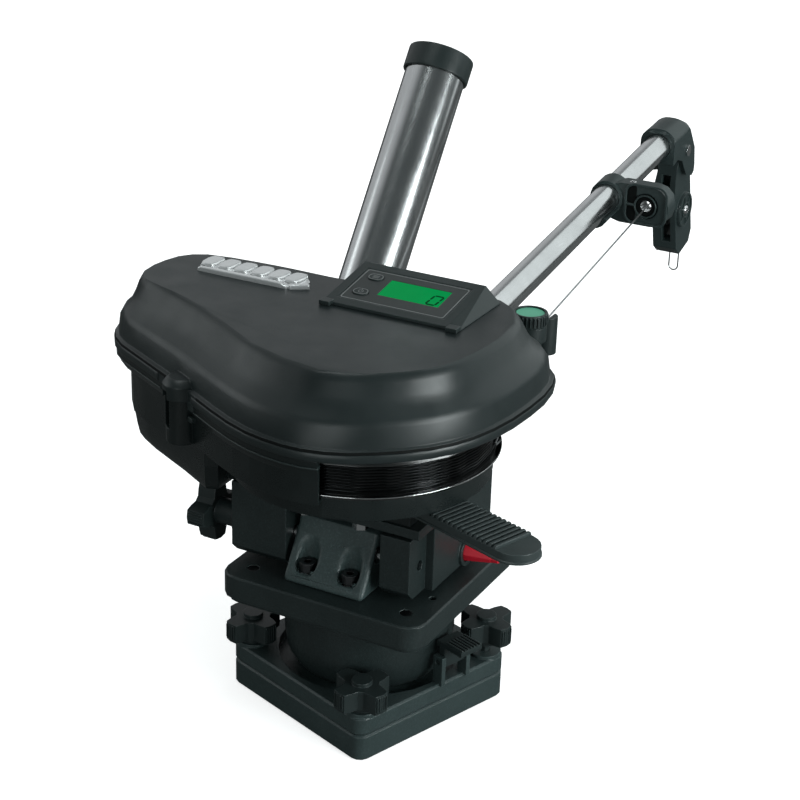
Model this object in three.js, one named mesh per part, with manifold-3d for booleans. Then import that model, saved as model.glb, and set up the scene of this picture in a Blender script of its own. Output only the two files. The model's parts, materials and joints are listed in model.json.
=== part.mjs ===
// Boat downrigger: an electric reel on a tilting frame over a swivelling base.
// Millimetres, +Z up. The origin is the middle of the mounting plate's underside,
// on the swivel axis. +Y points outboard along the boom.
import * as THREE from 'three';
import { mergeVertices } from 'three/addons/utils/BufferGeometryUtils.js';
import Module from 'manifold-3d';

const wasm = await Module();
wasm.setup();

const degrees = (angle) => (angle * Math.PI) / 180;
const fullTurn = 2 * Math.PI;

// Clearances
const seat = 0.3;
const slide = 0.4;
const overrun = 40;

// Facets of round pieces
const fine = 28;
const medium = 18;
const coarse = 8;

// Base: mounting plate, swivel base and its four corner knobs, turned about Z
const base = {
  turn: degrees(-19.3), side: 158, corner: 10, plateHeight: 22, top: 37.5, edge: 1.5,
  recessRadius: 72.5, recessFloor: 30, boltCircle: 46, boltRadius: 4.2,
  knobOffset: 66, bossRadius: 13, bossTop: 40,
};
const cornerKnob = {
  studRadius: 4, studBottom: 8, neckRadius: 11, headBottom: 45, headTop: 61,
  outerRadius: 23.5, innerRadius: 13, capRadius: 8, capTop: 64, lobes: 4, backedOut: 8,
};
// Turn and swell of the points of a knob's lobe
const lobeShares = [
  [-0.16, 0.97], [0, 1], [0.16, 0.97], [0.27, 0.5], [0.4, 0.06], [0.6, 0.06], [0.73, 0.5],
];
const lockTab = {
  inner: 70, stemInner: 73, stemOuter: 79, outer: 97, side: 8, width: 22, pivotX: 76, pivotZ: 56,
  pinRadius: 2.5, stemBottom: 51, plateBottom: 68, plateTop: 72, ridgeHeight: 1.4, ridges: 7,
  earThickness: 4, earInner: 71, earOuter: 81, earTop: 61,
};
const post = { flangeRadius: 26, flangeHeight: 4, radius: 14, top: 118, nutRadius: 23, nutHeight: 8 };

// Turret: bowl, plate and the fixed half of the tilt hinge
const bowl = { radius: 68, wall: 6, hubWall: 7.5, bottom: 31, top: 96.5, floor: 6 };
const bowlHeightShares = [0, 0.07, 0.23, 0.46];
const bowlRadiusShares = [0.77, 0.88, 0.97, 1];
const turret = {
  side: 175, corner: 16, bottom: 97, stepTop: 100.2, step: 4, top: 120.7, edge: 1.2,
  screwOffset: 67, screwHeadRadius: 4.8, screwHeadHeight: 2.8, screwRadius: 2.4, screwLength: 17,
  pocketFloor: 106, holeX: 74, holeY: -37, holeRadius: 3,
};
const pivot = { y: -45, z: 150, rodRadius: 6 };
const knuckle = {
  left: -37, right: 32, front: -73, back: -5, height: 50, frontLip: 6, faceTopY: -51, faceTopZ: 160,
  boreX: 18.5, boreY: -62, boreRadius: 8.5, boreFloor: 129.5, headRadius: 6.6, headHeight: 7.5,
  boltRadius: 4, boltBottom: 106, socketRadius: 3.2, socketDepth: 4,
};

// Tilting frame: an inverted channel over the knuckle
const frame = {
  left: -90, right: 73, front: -62, back: 62, bottom: 126, plateBottom: 180, top: 187.7, wall: 7.5,
  lugInnerLeft: -41, lugInnerRight: 41, lugOuterRight: 66, lugBack: -22, lugTopRight: 177,
  lugChamfer: 7, wallStart: -36, endHoleRadius: 4.4, endHoleDepth: 6, pocketDepth: 5, pocketInset: 5,
};
const frameBolt = { x: 24, middle: -4, y: -54, headRadius: 6.4, headHeight: 6, radius: 4, top: 197.5 };
const tiltKnob = {
  washerRadius: 13, washerThickness: 3.4, neckRadius: 10.5, neckLength: 17, headLength: 16, outerRadius: 25,
  innerRadius: 14.5, capRadius: 9, capHeight: 3, lobes: 4, boreDepth: 9,
};
const plunger = {
  y: 19, z: 136, noseRadius: 3, noseInner: 52.3, bossInner: 58, radius: 8.5, tipRadius: 3.6, length: 28.6,
  bossRadius: 12.5, bossProud: 2.4, pocket: 6.5, tipSeamShare: 0.8,
};
const lockBracket = {
  outer: 56, thickness: 5, foot: 16, front: 3, back: 35, height: 30, footHeight: 4, slotLean: 1.8,
};

// Reel: spool, winding, shaft, bearings, clutch and gears
const reel = { x: 0.5, y: -20 };
const spool = {
  radius: 105.5, flange: 3, bottom: 228, top: 258, coreRadius: 97, boreRadius: 14.4, web: 8,
};
const line = { radius: 0.75, pitch: 2.3, windRadius: 99, loops: 9, steps: 24, sides: 6, tail: 19 };
const shaft = { radius: 8, bottom: 190.5, top: 280, nutRadius: 13, nutHeight: 6 };
const clutchDisc = { radius: 70, thickness: 3 };
const gear = {
  module: 5, height: 7, driveTeeth: 36, idlerTeeth: 12, pinionTeeth: 6, addendum: 2, dedendum: 3.4,
};
const toothShares = [-0.29, -0.13, 0.13, 0.29];
const gearDirection = degrees(163.2);
const motor = { radius: 33, bottom: 190.6, shaftRadius: 4, bossRadius: 7, endRadius: 26, endHeight: 5 };
const clutchLever = {
  hubRadius: 38, boreRadius: 24.4, bottom: 199, thickness: 8, direction: degrees(-19.5), rootWidth: 26,
  padWidth: 36, padStart: 82, tipRadius: 183, ribs: 17, ribHeight: 1.3, ribShare: 0.5, slotBelow: -52,
  slotAbove: 14,
};

// Housing: outlines in plan at the rim and on the plateau, as shares of the reach
const housing = {
  reach: 240, rimBottom: 260, wall: 3, lip: 12.5, lipStep: 1, lipFace: 6,
  lipInset: 4, skirtBottom: 224, floor: 226.3, samples: 50,
  spoolRoom: 1.5, panInset: 5.5, panStep: 5, panBottom: 210, potBottom: 181, potX: -150, potY: 4,
  blockFront: -60, blockBack: 57, blockLeft: -96, blockRight: 64, partition: 3.4,
  skirtEnd: degrees(-77), skirtReturn: degrees(66),
};
const potShares = [
  [-0.385, 0.25], [-0.48, 0.29], [-0.658, 0.338], [-0.804, 0.329], [-0.892, 0.27], [-0.933, 0.175],
  [-0.938, 0.058], [-0.917, -0.03], [-0.854, -0.104], [-0.767, -0.156], [-0.571, -0.254], [-0.425, -0.335],
  [-0.385, -0.32],
];
const potHeightShares = [0, 0.08, 0.2, 0.36, 0.37, 0.76, 1];
const potWidthShares = [0.9, 0.96, 0.99, 1, 1.03, 1.03, 1.08];
const potRoomShare = 0.94;
const rimShares = [
  [0.058, -0.558], [0.175, -0.521], [0.279, -0.45], [0.379, -0.35], [0.442, -0.242], [0.483, -0.1],
  [0.5, 0.083], [0.492, 0.25], [0.45, 0.37], [0.365, 0.43], [0.2, 0.442], [-0.02, 0.442], [-0.12, 0.4],
  [-0.16, 0.31], [-0.26, 0.288], [-0.42, 0.288], [-0.48, 0.34], [-0.66, 0.392], [-0.825, 0.383],
  [-0.935, 0.308], [-0.987, 0.188], [-0.992, 0.058], [-0.967, -0.05], [-0.896, -0.142], [-0.79, -0.204],
  [-0.596, -0.304], [-0.45, -0.383], [-0.317, -0.458], [-0.167, -0.529], [-0.05, -0.556],
];
const plateauShares = [
  [0.054, -0.438], [0.167, -0.404], [0.25, -0.342], [0.317, -0.267], [0.354, -0.192], [0.379, -0.075],
  [0.388, 0.067], [0.375, 0.192], [0.33, 0.3], [0.25, 0.37], [0.146, 0.385], [-0.01, 0.38], [-0.11, 0.345],
  [-0.16, 0.29], [-0.26, 0.272], [-0.42, 0.27], [-0.5, 0.27], [-0.64, 0.262], [-0.79, 0.24], [-0.854, 0.188],
  [-0.879, 0.092], [-0.875, 0], [-0.833, -0.067], [-0.771, -0.096], [-0.688, -0.121], [-0.542, -0.179],
  [-0.417, -0.25], [-0.3, -0.325], [-0.167, -0.392], [-0.054, -0.421],
];
const cover = { height: 58, hoodX: -120, hoodY: -83, hoodRadius: 14.5, hoodHeight: 16, hoodDome: 5 };
const coverHeightShares = [0, 0.155, 0.172, 0.42, 0.52, 0.6, 0.75, 0.9, 0.97, 1];
const coverInsetShares = [0, 0, 0.1, 0.17, 0.3, 0.5, 0.68, 0.82, 0.91, 1];
const coverInnerLevels = [0, 2, 4, 5, 7, 9];
const powerSocket = {
  radius: 12.6, slotWidth: 9, slotBottom: 236, slotTop: 267, depth: 15, bodyHeight: 18, bodyDepth: 5,
  pinRadius: 1.5, pinLength: 5, pinShares: [0.3, 0.7], turn: -28,
};

// Display on the cover's plateau
const display = {
  left: -54, right: 63, front: 10, back: 82, flank: 6, flankLeft: 1, flankRight: 10, frontRise: 2.4,
  slope: Math.tan(degrees(10.2)), panelLeft: -45, panelRight: 46, panelFront: 19, panelBack: 67, recess: 2,
  panelThickness: 1.4, lcdLeft: -19, lcdRight: 34, lcdFront: 33, lcdBack: 58, lcdThickness: 1, footWidth: 9,
  footDepth: 8, footHeight: 3.4, buttonX: -32, buttonFront: 32, buttonBack: 56, buttonLength: 13,
  buttonWidth: 9, buttonProud: 0.8, buttonTravel: 1, boardMargin: 8, boardThickness: 1.6,
};

// Boom, rod holder and the running line
const boom = {
  x: 23, y: 191, z: 286.2, rise: Math.atan(0.149), outerRadius: 12.7, innerRadius: 11, start: 114, end: 538,
};
const socket = {
  left: 6, right: 40, front: 109, back: 162, bottom: 230, top: 282, round: 6, tubRise: 247,
  footLeft: -4, footRight: 48, footTop: 258,
  armFront: 129, armBack: 157, armBottom: 268.5, armTop: 279, bossTop: 281.5,
};
const lockKnob = {
  x: 62, y: 143, radius: 14, height: 7.5, studRadius: 3, studBottom: 271, capRadius: 11.6, capHeight: 1.6,
};
const guide = {
  x: 55, y: 195, z: 268, radius: 9, bottom: 238, top: 270.5, armTop: 253, slot: 6.6,
  slotDepth: 5,
};
const bracket = {
  y: 401, sleeveRadius: 15.8, sleeveBack: 10, sleeveFront: 11, troughFront: 44, troughDrop: 4,
  left: 20, right: 82.5, bottom: 295, plateTop: 332, plateHalf: 9,
  corner: 16, eyeX: 60.8, eyeZ: 313.6, eyeRadius: 8.4, recessRadius: 12, recessDepth: 6, ringInner: 5,
  ringLength: 16, screwX: 44, screwRadius: 2.4, screwDepth: 8,
};
const nose = {
  sleeveRadius: 15.3, start: 516, sleeveEnd: 549, pivotY: 552, pivotZ: 325, pinRadius: 2.4, left: 6,
  right: 40, cheek: 4.4, crown: 3, screwHead: 5.6, screwHeight: 2.4, reach: 46, room: 7.8,
};
const earShares = [
  [-0.78, 0.56], [0, 0.52], [0.12, 0.44], [0.46, -0.04], [0.54, -0.46], [0.52, -0.57], [0.43, -0.63],
  [0.09, -0.55], [-0.24, -0.16], [-0.54, -0.06], [-0.78, -0.12],
];
const head = {
  left: 15, right: 35.3, wideLeft: 10.8, wideStart: -20, wideEnd: -48, halfDepth: 21, height: 114, lean: 16,
  slotLeft: 20.6, slotRight: 29.4, slotTop: -22, slotBottom: -96, backWall: 2.2, tongue: 7, wheelY: -1,
  wheelZ: -68, wheelRadius: 18, groove: 3, axleRadius: 3, plateRadius: 18, plateProud: 2.4, exitLeft: 19.2,
  exitRight: 30.8, exitFront: -8, exitBack: 18,
};
const headShares = [
  [-0.43, -0.055], [0.3, -0.055], [0.3, -0.18], [1, -0.33], [1, -0.91], [0.62, -1], [-0.62, -1],
  [-1, -0.91], [-1, -0.31], [-0.67, -0.15],
];
const drop = {
  clearance: 0.5, mouthShare: 0.81, loopTop: 232, loopWidth: 9.4, loopBottom: 189, wire: 0.8,
  sleeveRadius: 1.7, sleeveLength: 8,
};
const rod = {
  x: -71, y: 123, z: 307, lean: Math.atan2(0.8205, 0.572), outerRadius: 25.4, innerRadius: 23.6, low: -30,
  high: 190, ringOuter: 27.8, ringLength: 20, ringLip: 2, cupOuter: 29.5, cupFloor: -42, cupTop: -20,
  drainRadius: 8, armLeft: -88, armRight: -54, armBottom: 229, armTop: 246, armFront: 71, armBack: 116,
  web: 9,
};

// Solids: three.js geometry in, boolean work, three.js geometry out
function toSolid(geometry) {
  const bare = new THREE.BufferGeometry();
  bare.setAttribute('position', geometry.getAttribute('position').clone());
  if (geometry.index) bare.setIndex(geometry.index.clone());
  const merged = mergeVertices(bare, seat / 1000);
  const index = merged.index.array;
  const kept = [];
  for (let i = 0; i < index.length; i += 3) {
    const [a, b, c] = [index[i], index[i + 1], index[i + 2]];
    if (a !== b && b !== c && a !== c) kept.push(a, b, c);
  }
  const vertProperties = new Float32Array(merged.getAttribute('position').array);
  return new wasm.Manifold(new wasm.Mesh({ numProp: 3, vertProperties, triVerts: new Uint32Array(kept) }));
}

function toGeometry(solid) {
  const mesh = solid.getMesh();
  const geometry = new THREE.BufferGeometry();
  geometry.setAttribute('position', new THREE.BufferAttribute(new Float32Array(mesh.vertProperties), 3));
  geometry.setIndex(new THREE.BufferAttribute(new Uint32Array(mesh.triVerts), 1));
  return geometry;
}

const join = (...solids) => solids.reduce((sum, item) => sum.add(item));
const cut = (solid, ...tools) => tools.reduce((rest, tool) => rest.subtract(tool), solid);

function block(low, high) {
  const size = high.map((value, axis) => value - low[axis]);
  const geometry = new THREE.BoxGeometry(...size);
  geometry.translate(...low.map((value, axis) => value + size[axis] / 2));
  return toSolid(geometry);
}

// A cylinder or cone along Z, from one height to another
function cylinder(radius, low, high, at = [0, 0], facets = medium, topRadius = radius) {
  const geometry = new THREE.CylinderGeometry(topRadius, radius, high - low, facets);
  geometry.rotateX(Math.PI / 2);
  geometry.translate(at[0], at[1], (low + high) / 2);
  return toSolid(geometry);
}

// The same along X, at a point of the YZ plane
function cylinderX(radius, low, high, at, facets = medium, endRadius = radius) {
  const geometry = new THREE.CylinderGeometry(endRadius, radius, high - low, facets);
  geometry.rotateZ(-Math.PI / 2);
  geometry.translate((low + high) / 2, at[0], at[1]);
  return toSolid(geometry);
}

function cylinderY(radius, low, high, at, facets = medium) {
  const geometry = new THREE.CylinderGeometry(radius, radius, high - low, facets);
  geometry.translate(at[0], (low + high) / 2, at[1]);
  return toSolid(geometry);
}

// A turned solid about Z from closed points of radius and height
function turned(points, at = [0, 0], facets = fine) {
  const closed = [...points, points[0]].map(([r, z]) => new THREE.Vector2(r, z));
  const geometry = new THREE.LatheGeometry(closed, facets);
  geometry.rotateX(Math.PI / 2);
  geometry.translate(at[0], at[1], 0);
  return orient(geometry);
}

// Turns a closed surface outside out where its volume comes out negative
function orient(geometry) {
  const solid = toSolid(geometry);
  if (solid.volume() > 0) return solid;
  const bare = geometry.index ? geometry : mergeVertices(geometry);
  const index = Array.from(bare.index.array);
  for (let i = 0; i < index.length; i += 3) {
    [index[i], index[i + 1]] = [index[i + 1], index[i]];
  }
  bare.setIndex(index);
  return toSolid(bare);
}

function prism(points, low, high) {
  const shape = new THREE.Shape(points.map(([x, y]) => new THREE.Vector2(x, y)));
  const geometry = new THREE.ExtrudeGeometry(shape, { depth: high - low, bevelEnabled: false });
  geometry.translate(0, 0, low);
  return toSolid(geometry);
}

// A prism along X from points of the YZ plane
function prismX(points, low, high) {
  const shape = new THREE.Shape(points.map(([y, z]) => new THREE.Vector2(y, z)));
  const geometry = new THREE.ExtrudeGeometry(shape, { depth: high - low, bevelEnabled: false });
  geometry.rotateY(Math.PI / 2);
  geometry.rotateX(Math.PI / 2);
  geometry.translate(low, 0, 0);
  return toSolid(geometry);
}

// A closed skin through rings of equal point count, with flat ends
function loft(rings) {
  const count = rings[0].length;
  const positions = rings.flat(2);
  const index = [];
  for (let level = 0; level + 1 < rings.length; level += 1) {
    for (let i = 0; i < count; i += 1) {
      const a = level * count + i;
      const b = level * count + ((i + 1) % count);
      index.push(a, b, b + count, a, b + count, a + count);
    }
  }
  const flat = (ring) => ring.map(([x, y]) => new THREE.Vector2(x, y));
  const last = (rings.length - 1) * count;
  for (const [a, b, c] of THREE.ShapeUtils.triangulateShape(flat(rings[0]), [])) index.push(a, c, b);
  for (const [a, b, c] of THREE.ShapeUtils.triangulateShape(flat(rings.at(-1)), [])) {
    index.push(last + a, last + b, last + c);
  }
  const geometry = new THREE.BufferGeometry();
  geometry.setAttribute('position', new THREE.Float32BufferAttribute(positions, 3));
  geometry.setIndex(index);
  return orient(geometry);
}

// Outlines in plan
function roundedRect(width, depth, radius, steps = 3) {
  const points = [];
  const corners = [[1, 1], [-1, 1], [-1, -1], [1, -1]];
  corners.forEach(([sx, sy], corner) => {
    for (let i = 0; i <= steps; i += 1) {
      const angle = (corner + i / steps) * (Math.PI / 2);
      points.push([
        sx * (width / 2 - radius) + radius * Math.cos(angle),
        sy * (depth / 2 - radius) + radius * Math.sin(angle),
      ]);
    }
  });
  return points;
}

function roundedBlock(width, depth, radius, levels) {
  const rings = levels.map(([z, inset]) => {
    const ring = roundedRect(width - 2 * inset, depth - 2 * inset, radius - inset * (radius > inset));
    return ring.map(([x, y]) => [x, y, z]);
  });
  return loft(rings);
}

function smoothOutline(shares) {
  const points = shares.map(([x, y]) => new THREE.Vector3(x * housing.reach, y * housing.reach, 0));
  const curve = new THREE.CatmullRomCurve3(points, true, 'centripetal');
  const outline = [];
  for (let i = 0; i < housing.samples; i += 1) {
    const point = curve.getPoint(i / housing.samples);
    outline.push([point.x, point.y]);
  }
  return outline;
}

function insetOutline(outline, inset) {
  const count = outline.length;
  return outline.map(([x, y], i) => {
    const [ax, ay] = outline[(i + count - 1) % count];
    const [bx, by] = outline[(i + 1) % count];
    const length = Math.hypot(bx - ax, by - ay);
    return [x - (inset * (by - ay)) / length, y + (inset * (bx - ax)) / length];
  });
}

const atHeight = (outline, z) => outline.map(([x, y]) => [x, y, z]);
const mix = (a, b, share) => a.map((value, axis) => value + share * (b[axis] - value));

function starOutline(outer, inner, lobes) {
  const points = [];
  for (let lobe = 0; lobe < lobes; lobe += 1) {
    for (const [turn, swell] of lobeShares) {
      const angle = ((lobe + turn) / lobes) * fullTurn;
      const radius = inner + (outer - inner) * swell;
      points.push([radius * Math.cos(angle), radius * Math.sin(angle)]);
    }
  }
  return points;
}

function gearOutline(teeth, centre, phase) {
  const pitchRadius = (gear.module * teeth) / 2;
  const points = [];
  for (let tooth = 0; tooth < teeth; tooth += 1) {
    toothShares.forEach((share, step) => {
      const tip = step === 1 || step === 2;
      const radius = pitchRadius + (tip ? gear.addendum : -gear.dedendum);
      const angle = phase + ((tooth + share) / teeth) * fullTurn;
      points.push([centre[0] + radius * Math.cos(angle), centre[1] + radius * Math.sin(angle)]);
    });
  }
  return points;
}

// A round tube along straight runs through points, as one closed skin
function tube(points, radius, sides) {
  const path = points.map((point) => new THREE.Vector3(...point));
  const rings = [];
  let side = null;
  path.forEach((point, i) => {
    const next = Math.min(i + 1, path.length - 1);
    const ahead = path[next].clone().sub(path[next - 1]).normalize();
    const behind = point.clone().sub(path[Math.max(i - 1, 0)]);
    const back = i === 0 ? ahead : behind.normalize();
    const tangent = ahead.clone().add(back).normalize();
    if (!side) side = Math.abs(tangent.z) > 0.9 ? new THREE.Vector3(1, 0, 0) : new THREE.Vector3(0, 0, 1);
    side.sub(tangent.clone().multiplyScalar(side.dot(tangent))).normalize();
    const other = tangent.clone().cross(side);
    const ring = [];
    for (let k = 0; k < sides; k += 1) {
      const angle = (k / sides) * fullTurn;
      const spot = point.clone();
      spot.addScaledVector(side, radius * Math.cos(angle));
      spot.addScaledVector(other, radius * Math.sin(angle));
      ring.push([spot.x, spot.y, spot.z]);
    }
    rings.push(ring);
  });
  return skin(rings);
}

// A closed skin whose two ends are fans from their first point
function skin(rings) {
  const count = rings[0].length;
  const index = [];
  for (let level = 0; level + 1 < rings.length; level += 1) {
    for (let i = 0; i < count; i += 1) {
      const a = level * count + i;
      const b = level * count + ((i + 1) % count);
      index.push(a, b, b + count, a, b + count, a + count);
    }
  }
  const last = (rings.length - 1) * count;
  for (let i = 1; i + 1 < count; i += 1) {
    index.push(0, i + 1, i, last, last + i, last + i + 1);
  }
  const geometry = new THREE.BufferGeometry();
  geometry.setAttribute('position', new THREE.Float32BufferAttribute(rings.flat(2), 3));
  geometry.setIndex(index);
  return orient(geometry);
}

// Materials
const looks = {
  darkPlastic: [0x1b1e1e, 0.6, 0], coverPlastic: [0x3a4141, 0.45, 0], blackPlastic: [0x121414, 0.55, 0],
  steel: [0x9a9c9c, 0.28, 1], brightSteel: [0xc8caca, 0.2, 1], blackSteel: [0x2a2c2c, 0.4, 0.8],
  spoolPlastic: [0x0d0e0e, 0.22, 0], cable: [0x4a4c4c, 0.35, 0.9], brass: [0xb08d4f, 0.35, 1],
  red: [0xc03a40, 0.45, 0], mint: [0x66c9a2, 0.4, 0], glowGreen: [0x0aa64f, 0.3, 0],
  board: [0x1f4a2c, 0.6, 0], friction: [0x5b4a3a, 0.9, 0], gearPlastic: [0xd8d4c8, 0.5, 0],
  panel: [0x15181a, 0.3, 0],
};

const part = new THREE.Group();
const baseGroup = new THREE.Group();
baseGroup.rotation.z = base.turn;
part.add(baseGroup);

function addPiece(name, solid, look, parent = part) {
  const [color, roughness, metalness] = looks[look];
  const material = new THREE.MeshStandardMaterial({ color, roughness, metalness });
  const mesh = new THREE.Mesh(toGeometry(solid), material);
  mesh.material.name = look;
  mesh.name = name;
  parent.add(mesh);
  return mesh;
}

// Base pieces, in the base's own turned frame
const cornerPlaces = [
  ['front', 1, -1], ['right', 1, 1], ['rear', -1, 1], ['left', -1, -1],
].map(([name, sx, sy]) => [name, [sx * base.knobOffset, sy * base.knobOffset]]);
const cornerLift = { right: cornerKnob.backedOut };

function mountingPlate() {
  const { edge, plateHeight } = base;
  const levels = [[0, edge], [edge, 0], [plateHeight - edge, 0], [plateHeight, edge]];
  let solid = roundedBlock(base.side, base.side, base.corner, levels);
  for (const [, place] of cornerPlaces) {
    const bottom = cornerKnob.studBottom - slide;
    solid = cut(solid, cylinder(cornerKnob.studRadius + slide, bottom, base.top, place, coarse));
  }
  for (let i = 0; i < 4; i += 1) {
    const angle = (i * fullTurn) / 4;
    const place = [base.boltCircle * Math.cos(angle), base.boltCircle * Math.sin(angle)];
    solid = cut(solid, cylinder(base.boltRadius, -overrun, base.top, place, coarse));
  }
  return solid;
}

function swivelBase() {
  const low = base.plateHeight + seat;
  const levels = [[low, base.edge], [low + base.edge, 0], [base.top - base.edge, 0], [base.top, base.edge]];
  let solid = roundedBlock(base.side, base.side, base.corner, levels);
  for (const [, place] of cornerPlaces) {
    solid = join(solid, cylinder(base.bossRadius, low + base.edge, base.bossTop, place));
  }
  solid = cut(solid, cylinder(base.recessRadius, base.recessFloor, base.top + overrun, [0, 0], fine));
  for (const [, place] of cornerPlaces) {
    solid = cut(solid, cylinder(cornerKnob.studRadius + slide, 0, base.top + overrun, place, coarse));
  }
  const ears = [lockTab.side - seat - lockTab.earThickness, lockTab.side + lockTab.width + seat];
  for (const y of ears) {
    solid = join(solid, block(
      [lockTab.earInner, y, base.top - base.edge],
      [lockTab.earOuter, y + lockTab.earThickness, lockTab.earTop],
    ));
  }
  const pin = new THREE.CylinderGeometry(
    lockTab.pinRadius + seat, lockTab.pinRadius + seat, lockTab.width + 4 * lockTab.earThickness, coarse,
  );
  pin.translate(lockTab.pivotX, lockTab.side + lockTab.width / 2, lockTab.pivotZ);
  return cut(solid, toSolid(pin));
}

function swivelLockTab() {
  const { side, width } = lockTab;
  let solid = join(
    block([lockTab.stemInner, side, lockTab.stemBottom], [lockTab.stemOuter, side + width, lockTab.plateTop]),
    block([lockTab.inner, side, lockTab.plateBottom], [lockTab.outer, side + width, lockTab.plateTop]),
  );
  const reach = lockTab.earThickness - seat;
  const pin = new THREE.CylinderGeometry(lockTab.pinRadius, lockTab.pinRadius, width + 2 * reach, coarse);
  pin.translate(lockTab.pivotX, side + width / 2, lockTab.pivotZ);
  solid = join(solid, toSolid(pin));
  const pitch = width / lockTab.ridges;
  for (let i = 0; i < lockTab.ridges; i += 1) {
    const y = side + (i + 0.25) * pitch;
    solid = join(solid, block(
      [lockTab.stemOuter, y, lockTab.plateTop - lockTab.ridgeHeight],
      [lockTab.outer, y + pitch / 2, lockTab.plateTop + lockTab.ridgeHeight],
    ));
  }
  return solid;
}

// The right knob stands backed out of its thread
function cornerKnobSolid(name, place) {
  const star = starOutline(cornerKnob.outerRadius, cornerKnob.innerRadius, cornerKnob.lobes);
  const shifted = star.map(([x, y]) => [x + place[0], y + place[1]]);
  return join(
    prism(shifted, cornerKnob.headBottom, cornerKnob.headTop),
    cylinder(cornerKnob.neckRadius, base.bossTop + seat, cornerKnob.headTop, place),
    cylinder(cornerKnob.capRadius, cornerKnob.headTop - cornerKnob.studRadius, cornerKnob.capTop, place),
    cylinder(cornerKnob.studRadius, cornerKnob.studBottom, cornerKnob.headTop, place, coarse),
  ).translate([0, 0, cornerLift[name] ?? 0]);
}

const postBottom = base.recessFloor + seat;
const postFlangeTop = postBottom + post.flangeHeight;
const nutBottom = turret.pocketFloor + seat;

function swivelPost() {
  return join(
    turned([
      [0, postBottom], [post.flangeRadius, postBottom], [post.flangeRadius, postFlangeTop],
      [post.radius, postFlangeTop], [post.radius, post.top], [0, post.top],
    ], [0, 0], medium),
    cylinder(post.nutRadius, nutBottom, nutBottom + post.nutHeight, [0, 0], 6),
  );
}

addPiece('mounting_plate', mountingPlate(), 'darkPlastic', baseGroup);
addPiece('swivel_base', swivelBase(), 'darkPlastic', baseGroup);
addPiece('swivel_lock_tab', swivelLockTab(), 'blackPlastic', baseGroup);
for (const [name, place] of cornerPlaces) {
  addPiece(`base_knob_${name}`, cornerKnobSolid(name, place), 'blackPlastic', baseGroup);
}
addPiece('swivel_post', swivelPost(), 'steel', baseGroup);

// Turret pieces
function turretBowl() {
  const height = bowl.top - bowl.bottom;
  const bore = post.radius + slide;
  const hub = bore + bowl.hubWall;
  const seatHeight = postFlangeTop + seat;
  const seatRadius = post.flangeRadius + slide;
  const outer = bowlHeightShares.map((share, i) => [
    bowl.radius * bowlRadiusShares[i], bowl.bottom + share * height,
  ]);
  const inner = outer.slice(2).reverse().map(([r, z]) => [r - bowl.wall, z + bowl.floor]);
  return turned([
    [bore, seatHeight], [seatRadius, seatHeight], [seatRadius, bowl.bottom], ...outer,
    [bowl.radius, bowl.top], [bowl.radius - bowl.wall, bowl.top], ...inner,
    [hub, inner.at(-1)[1]], [hub, bowl.top], [bore, bowl.top],
  ]);
}

const screwPlaces = [
  ['front_left', -1, -1], ['front_right', 1, -1], ['rear_right', 1, 1], ['rear_left', -1, 1],
].map(([name, sx, sy]) => [name, [sx * turret.screwOffset, sy * turret.screwOffset]]);
const knuckleBores = [['left', -1], ['right', 1]].map(([name, sign]) => {
  const middle = (knuckle.left + knuckle.right) / 2;
  return [name, [middle + sign * knuckle.boreX, knuckle.boreY]];
});

function turretPlate() {
  const levels = [
    [turret.bottom, turret.step], [turret.stepTop, turret.step], [turret.stepTop + turret.edge, 0],
    [turret.top - turret.edge, 0], [turret.top, turret.edge],
  ];
  let solid = roundedBlock(turret.side, turret.side, turret.corner, levels);
  solid = cut(
    solid,
    cylinder(post.radius + slide, 0, turret.top + overrun),
    cylinder(post.nutRadius + slide, turret.pocketFloor, turret.top + overrun),
    cylinder(turret.holeRadius, turret.stepTop, turret.top + overrun, [turret.holeX, turret.holeY], coarse),
  );
  const headFloor = turret.top - turret.screwHeadHeight;
  for (const [, place] of screwPlaces) {
    solid = cut(
      solid,
      cylinder(turret.screwHeadRadius + seat, headFloor, turret.top + overrun, place, coarse),
      cylinder(turret.screwRadius + seat, turret.stepTop, turret.top, place, coarse),
    );
  }
  for (const [, place] of knuckleBores) {
    const bottom = knuckle.boltBottom - seat;
    solid = cut(solid, cylinder(knuckle.boltRadius + seat, bottom, turret.top + overrun, place, coarse));
  }
  return solid;
}

function turretScrew(place) {
  const top = turret.top - seat;
  const headBottom = turret.top - turret.screwHeadHeight + seat;
  return join(
    cylinder(turret.screwHeadRadius, headBottom, top, place, coarse),
    cylinder(turret.screwRadius, top - turret.screwLength, top, place, coarse),
  );
}

function tiltKnuckle() {
  const bottom = turret.top + seat;
  const { front, back, faceTopY, faceTopZ, height, frontLip } = knuckle;
  const top = bottom + height;
  const crown = (back + faceTopY) / 2;
  const profile = [
    [front, bottom], [back, bottom], [back, faceTopZ - frontLip], [crown + frontLip, top - frontLip / 2],
    [crown - frontLip, top], [faceTopY + frontLip / 2, top - frontLip / 2], [faceTopY, faceTopZ],
    [front + frontLip / 3, bottom + frontLip],
  ];
  let solid = prismX(profile, knuckle.left, knuckle.right);
  solid = cut(solid, cylinderX(pivot.rodRadius + slide, -overrun * 2, overrun * 2, [pivot.y, pivot.z]));
  for (const [, place] of knuckleBores) {
    solid = cut(
      solid,
      cylinder(knuckle.boreRadius, knuckle.boreFloor, turret.top + 2 * overrun, place),
      cylinder(knuckle.boltRadius + seat, 0, turret.top + overrun, place, coarse),
    );
  }
  return solid;
}

function knuckleBolt(place) {
  const headBottom = knuckle.boreFloor + seat;
  const top = headBottom + knuckle.headHeight;
  return cut(
    join(
      cylinder(knuckle.headRadius, headBottom, top, place, coarse),
      cylinder(knuckle.boltRadius, knuckle.boltBottom, headBottom + knuckle.socketDepth / 2, place, coarse),
    ),
    cylinder(knuckle.socketRadius, top - knuckle.socketDepth, top + overrun, place, 6),
  );
}

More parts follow.
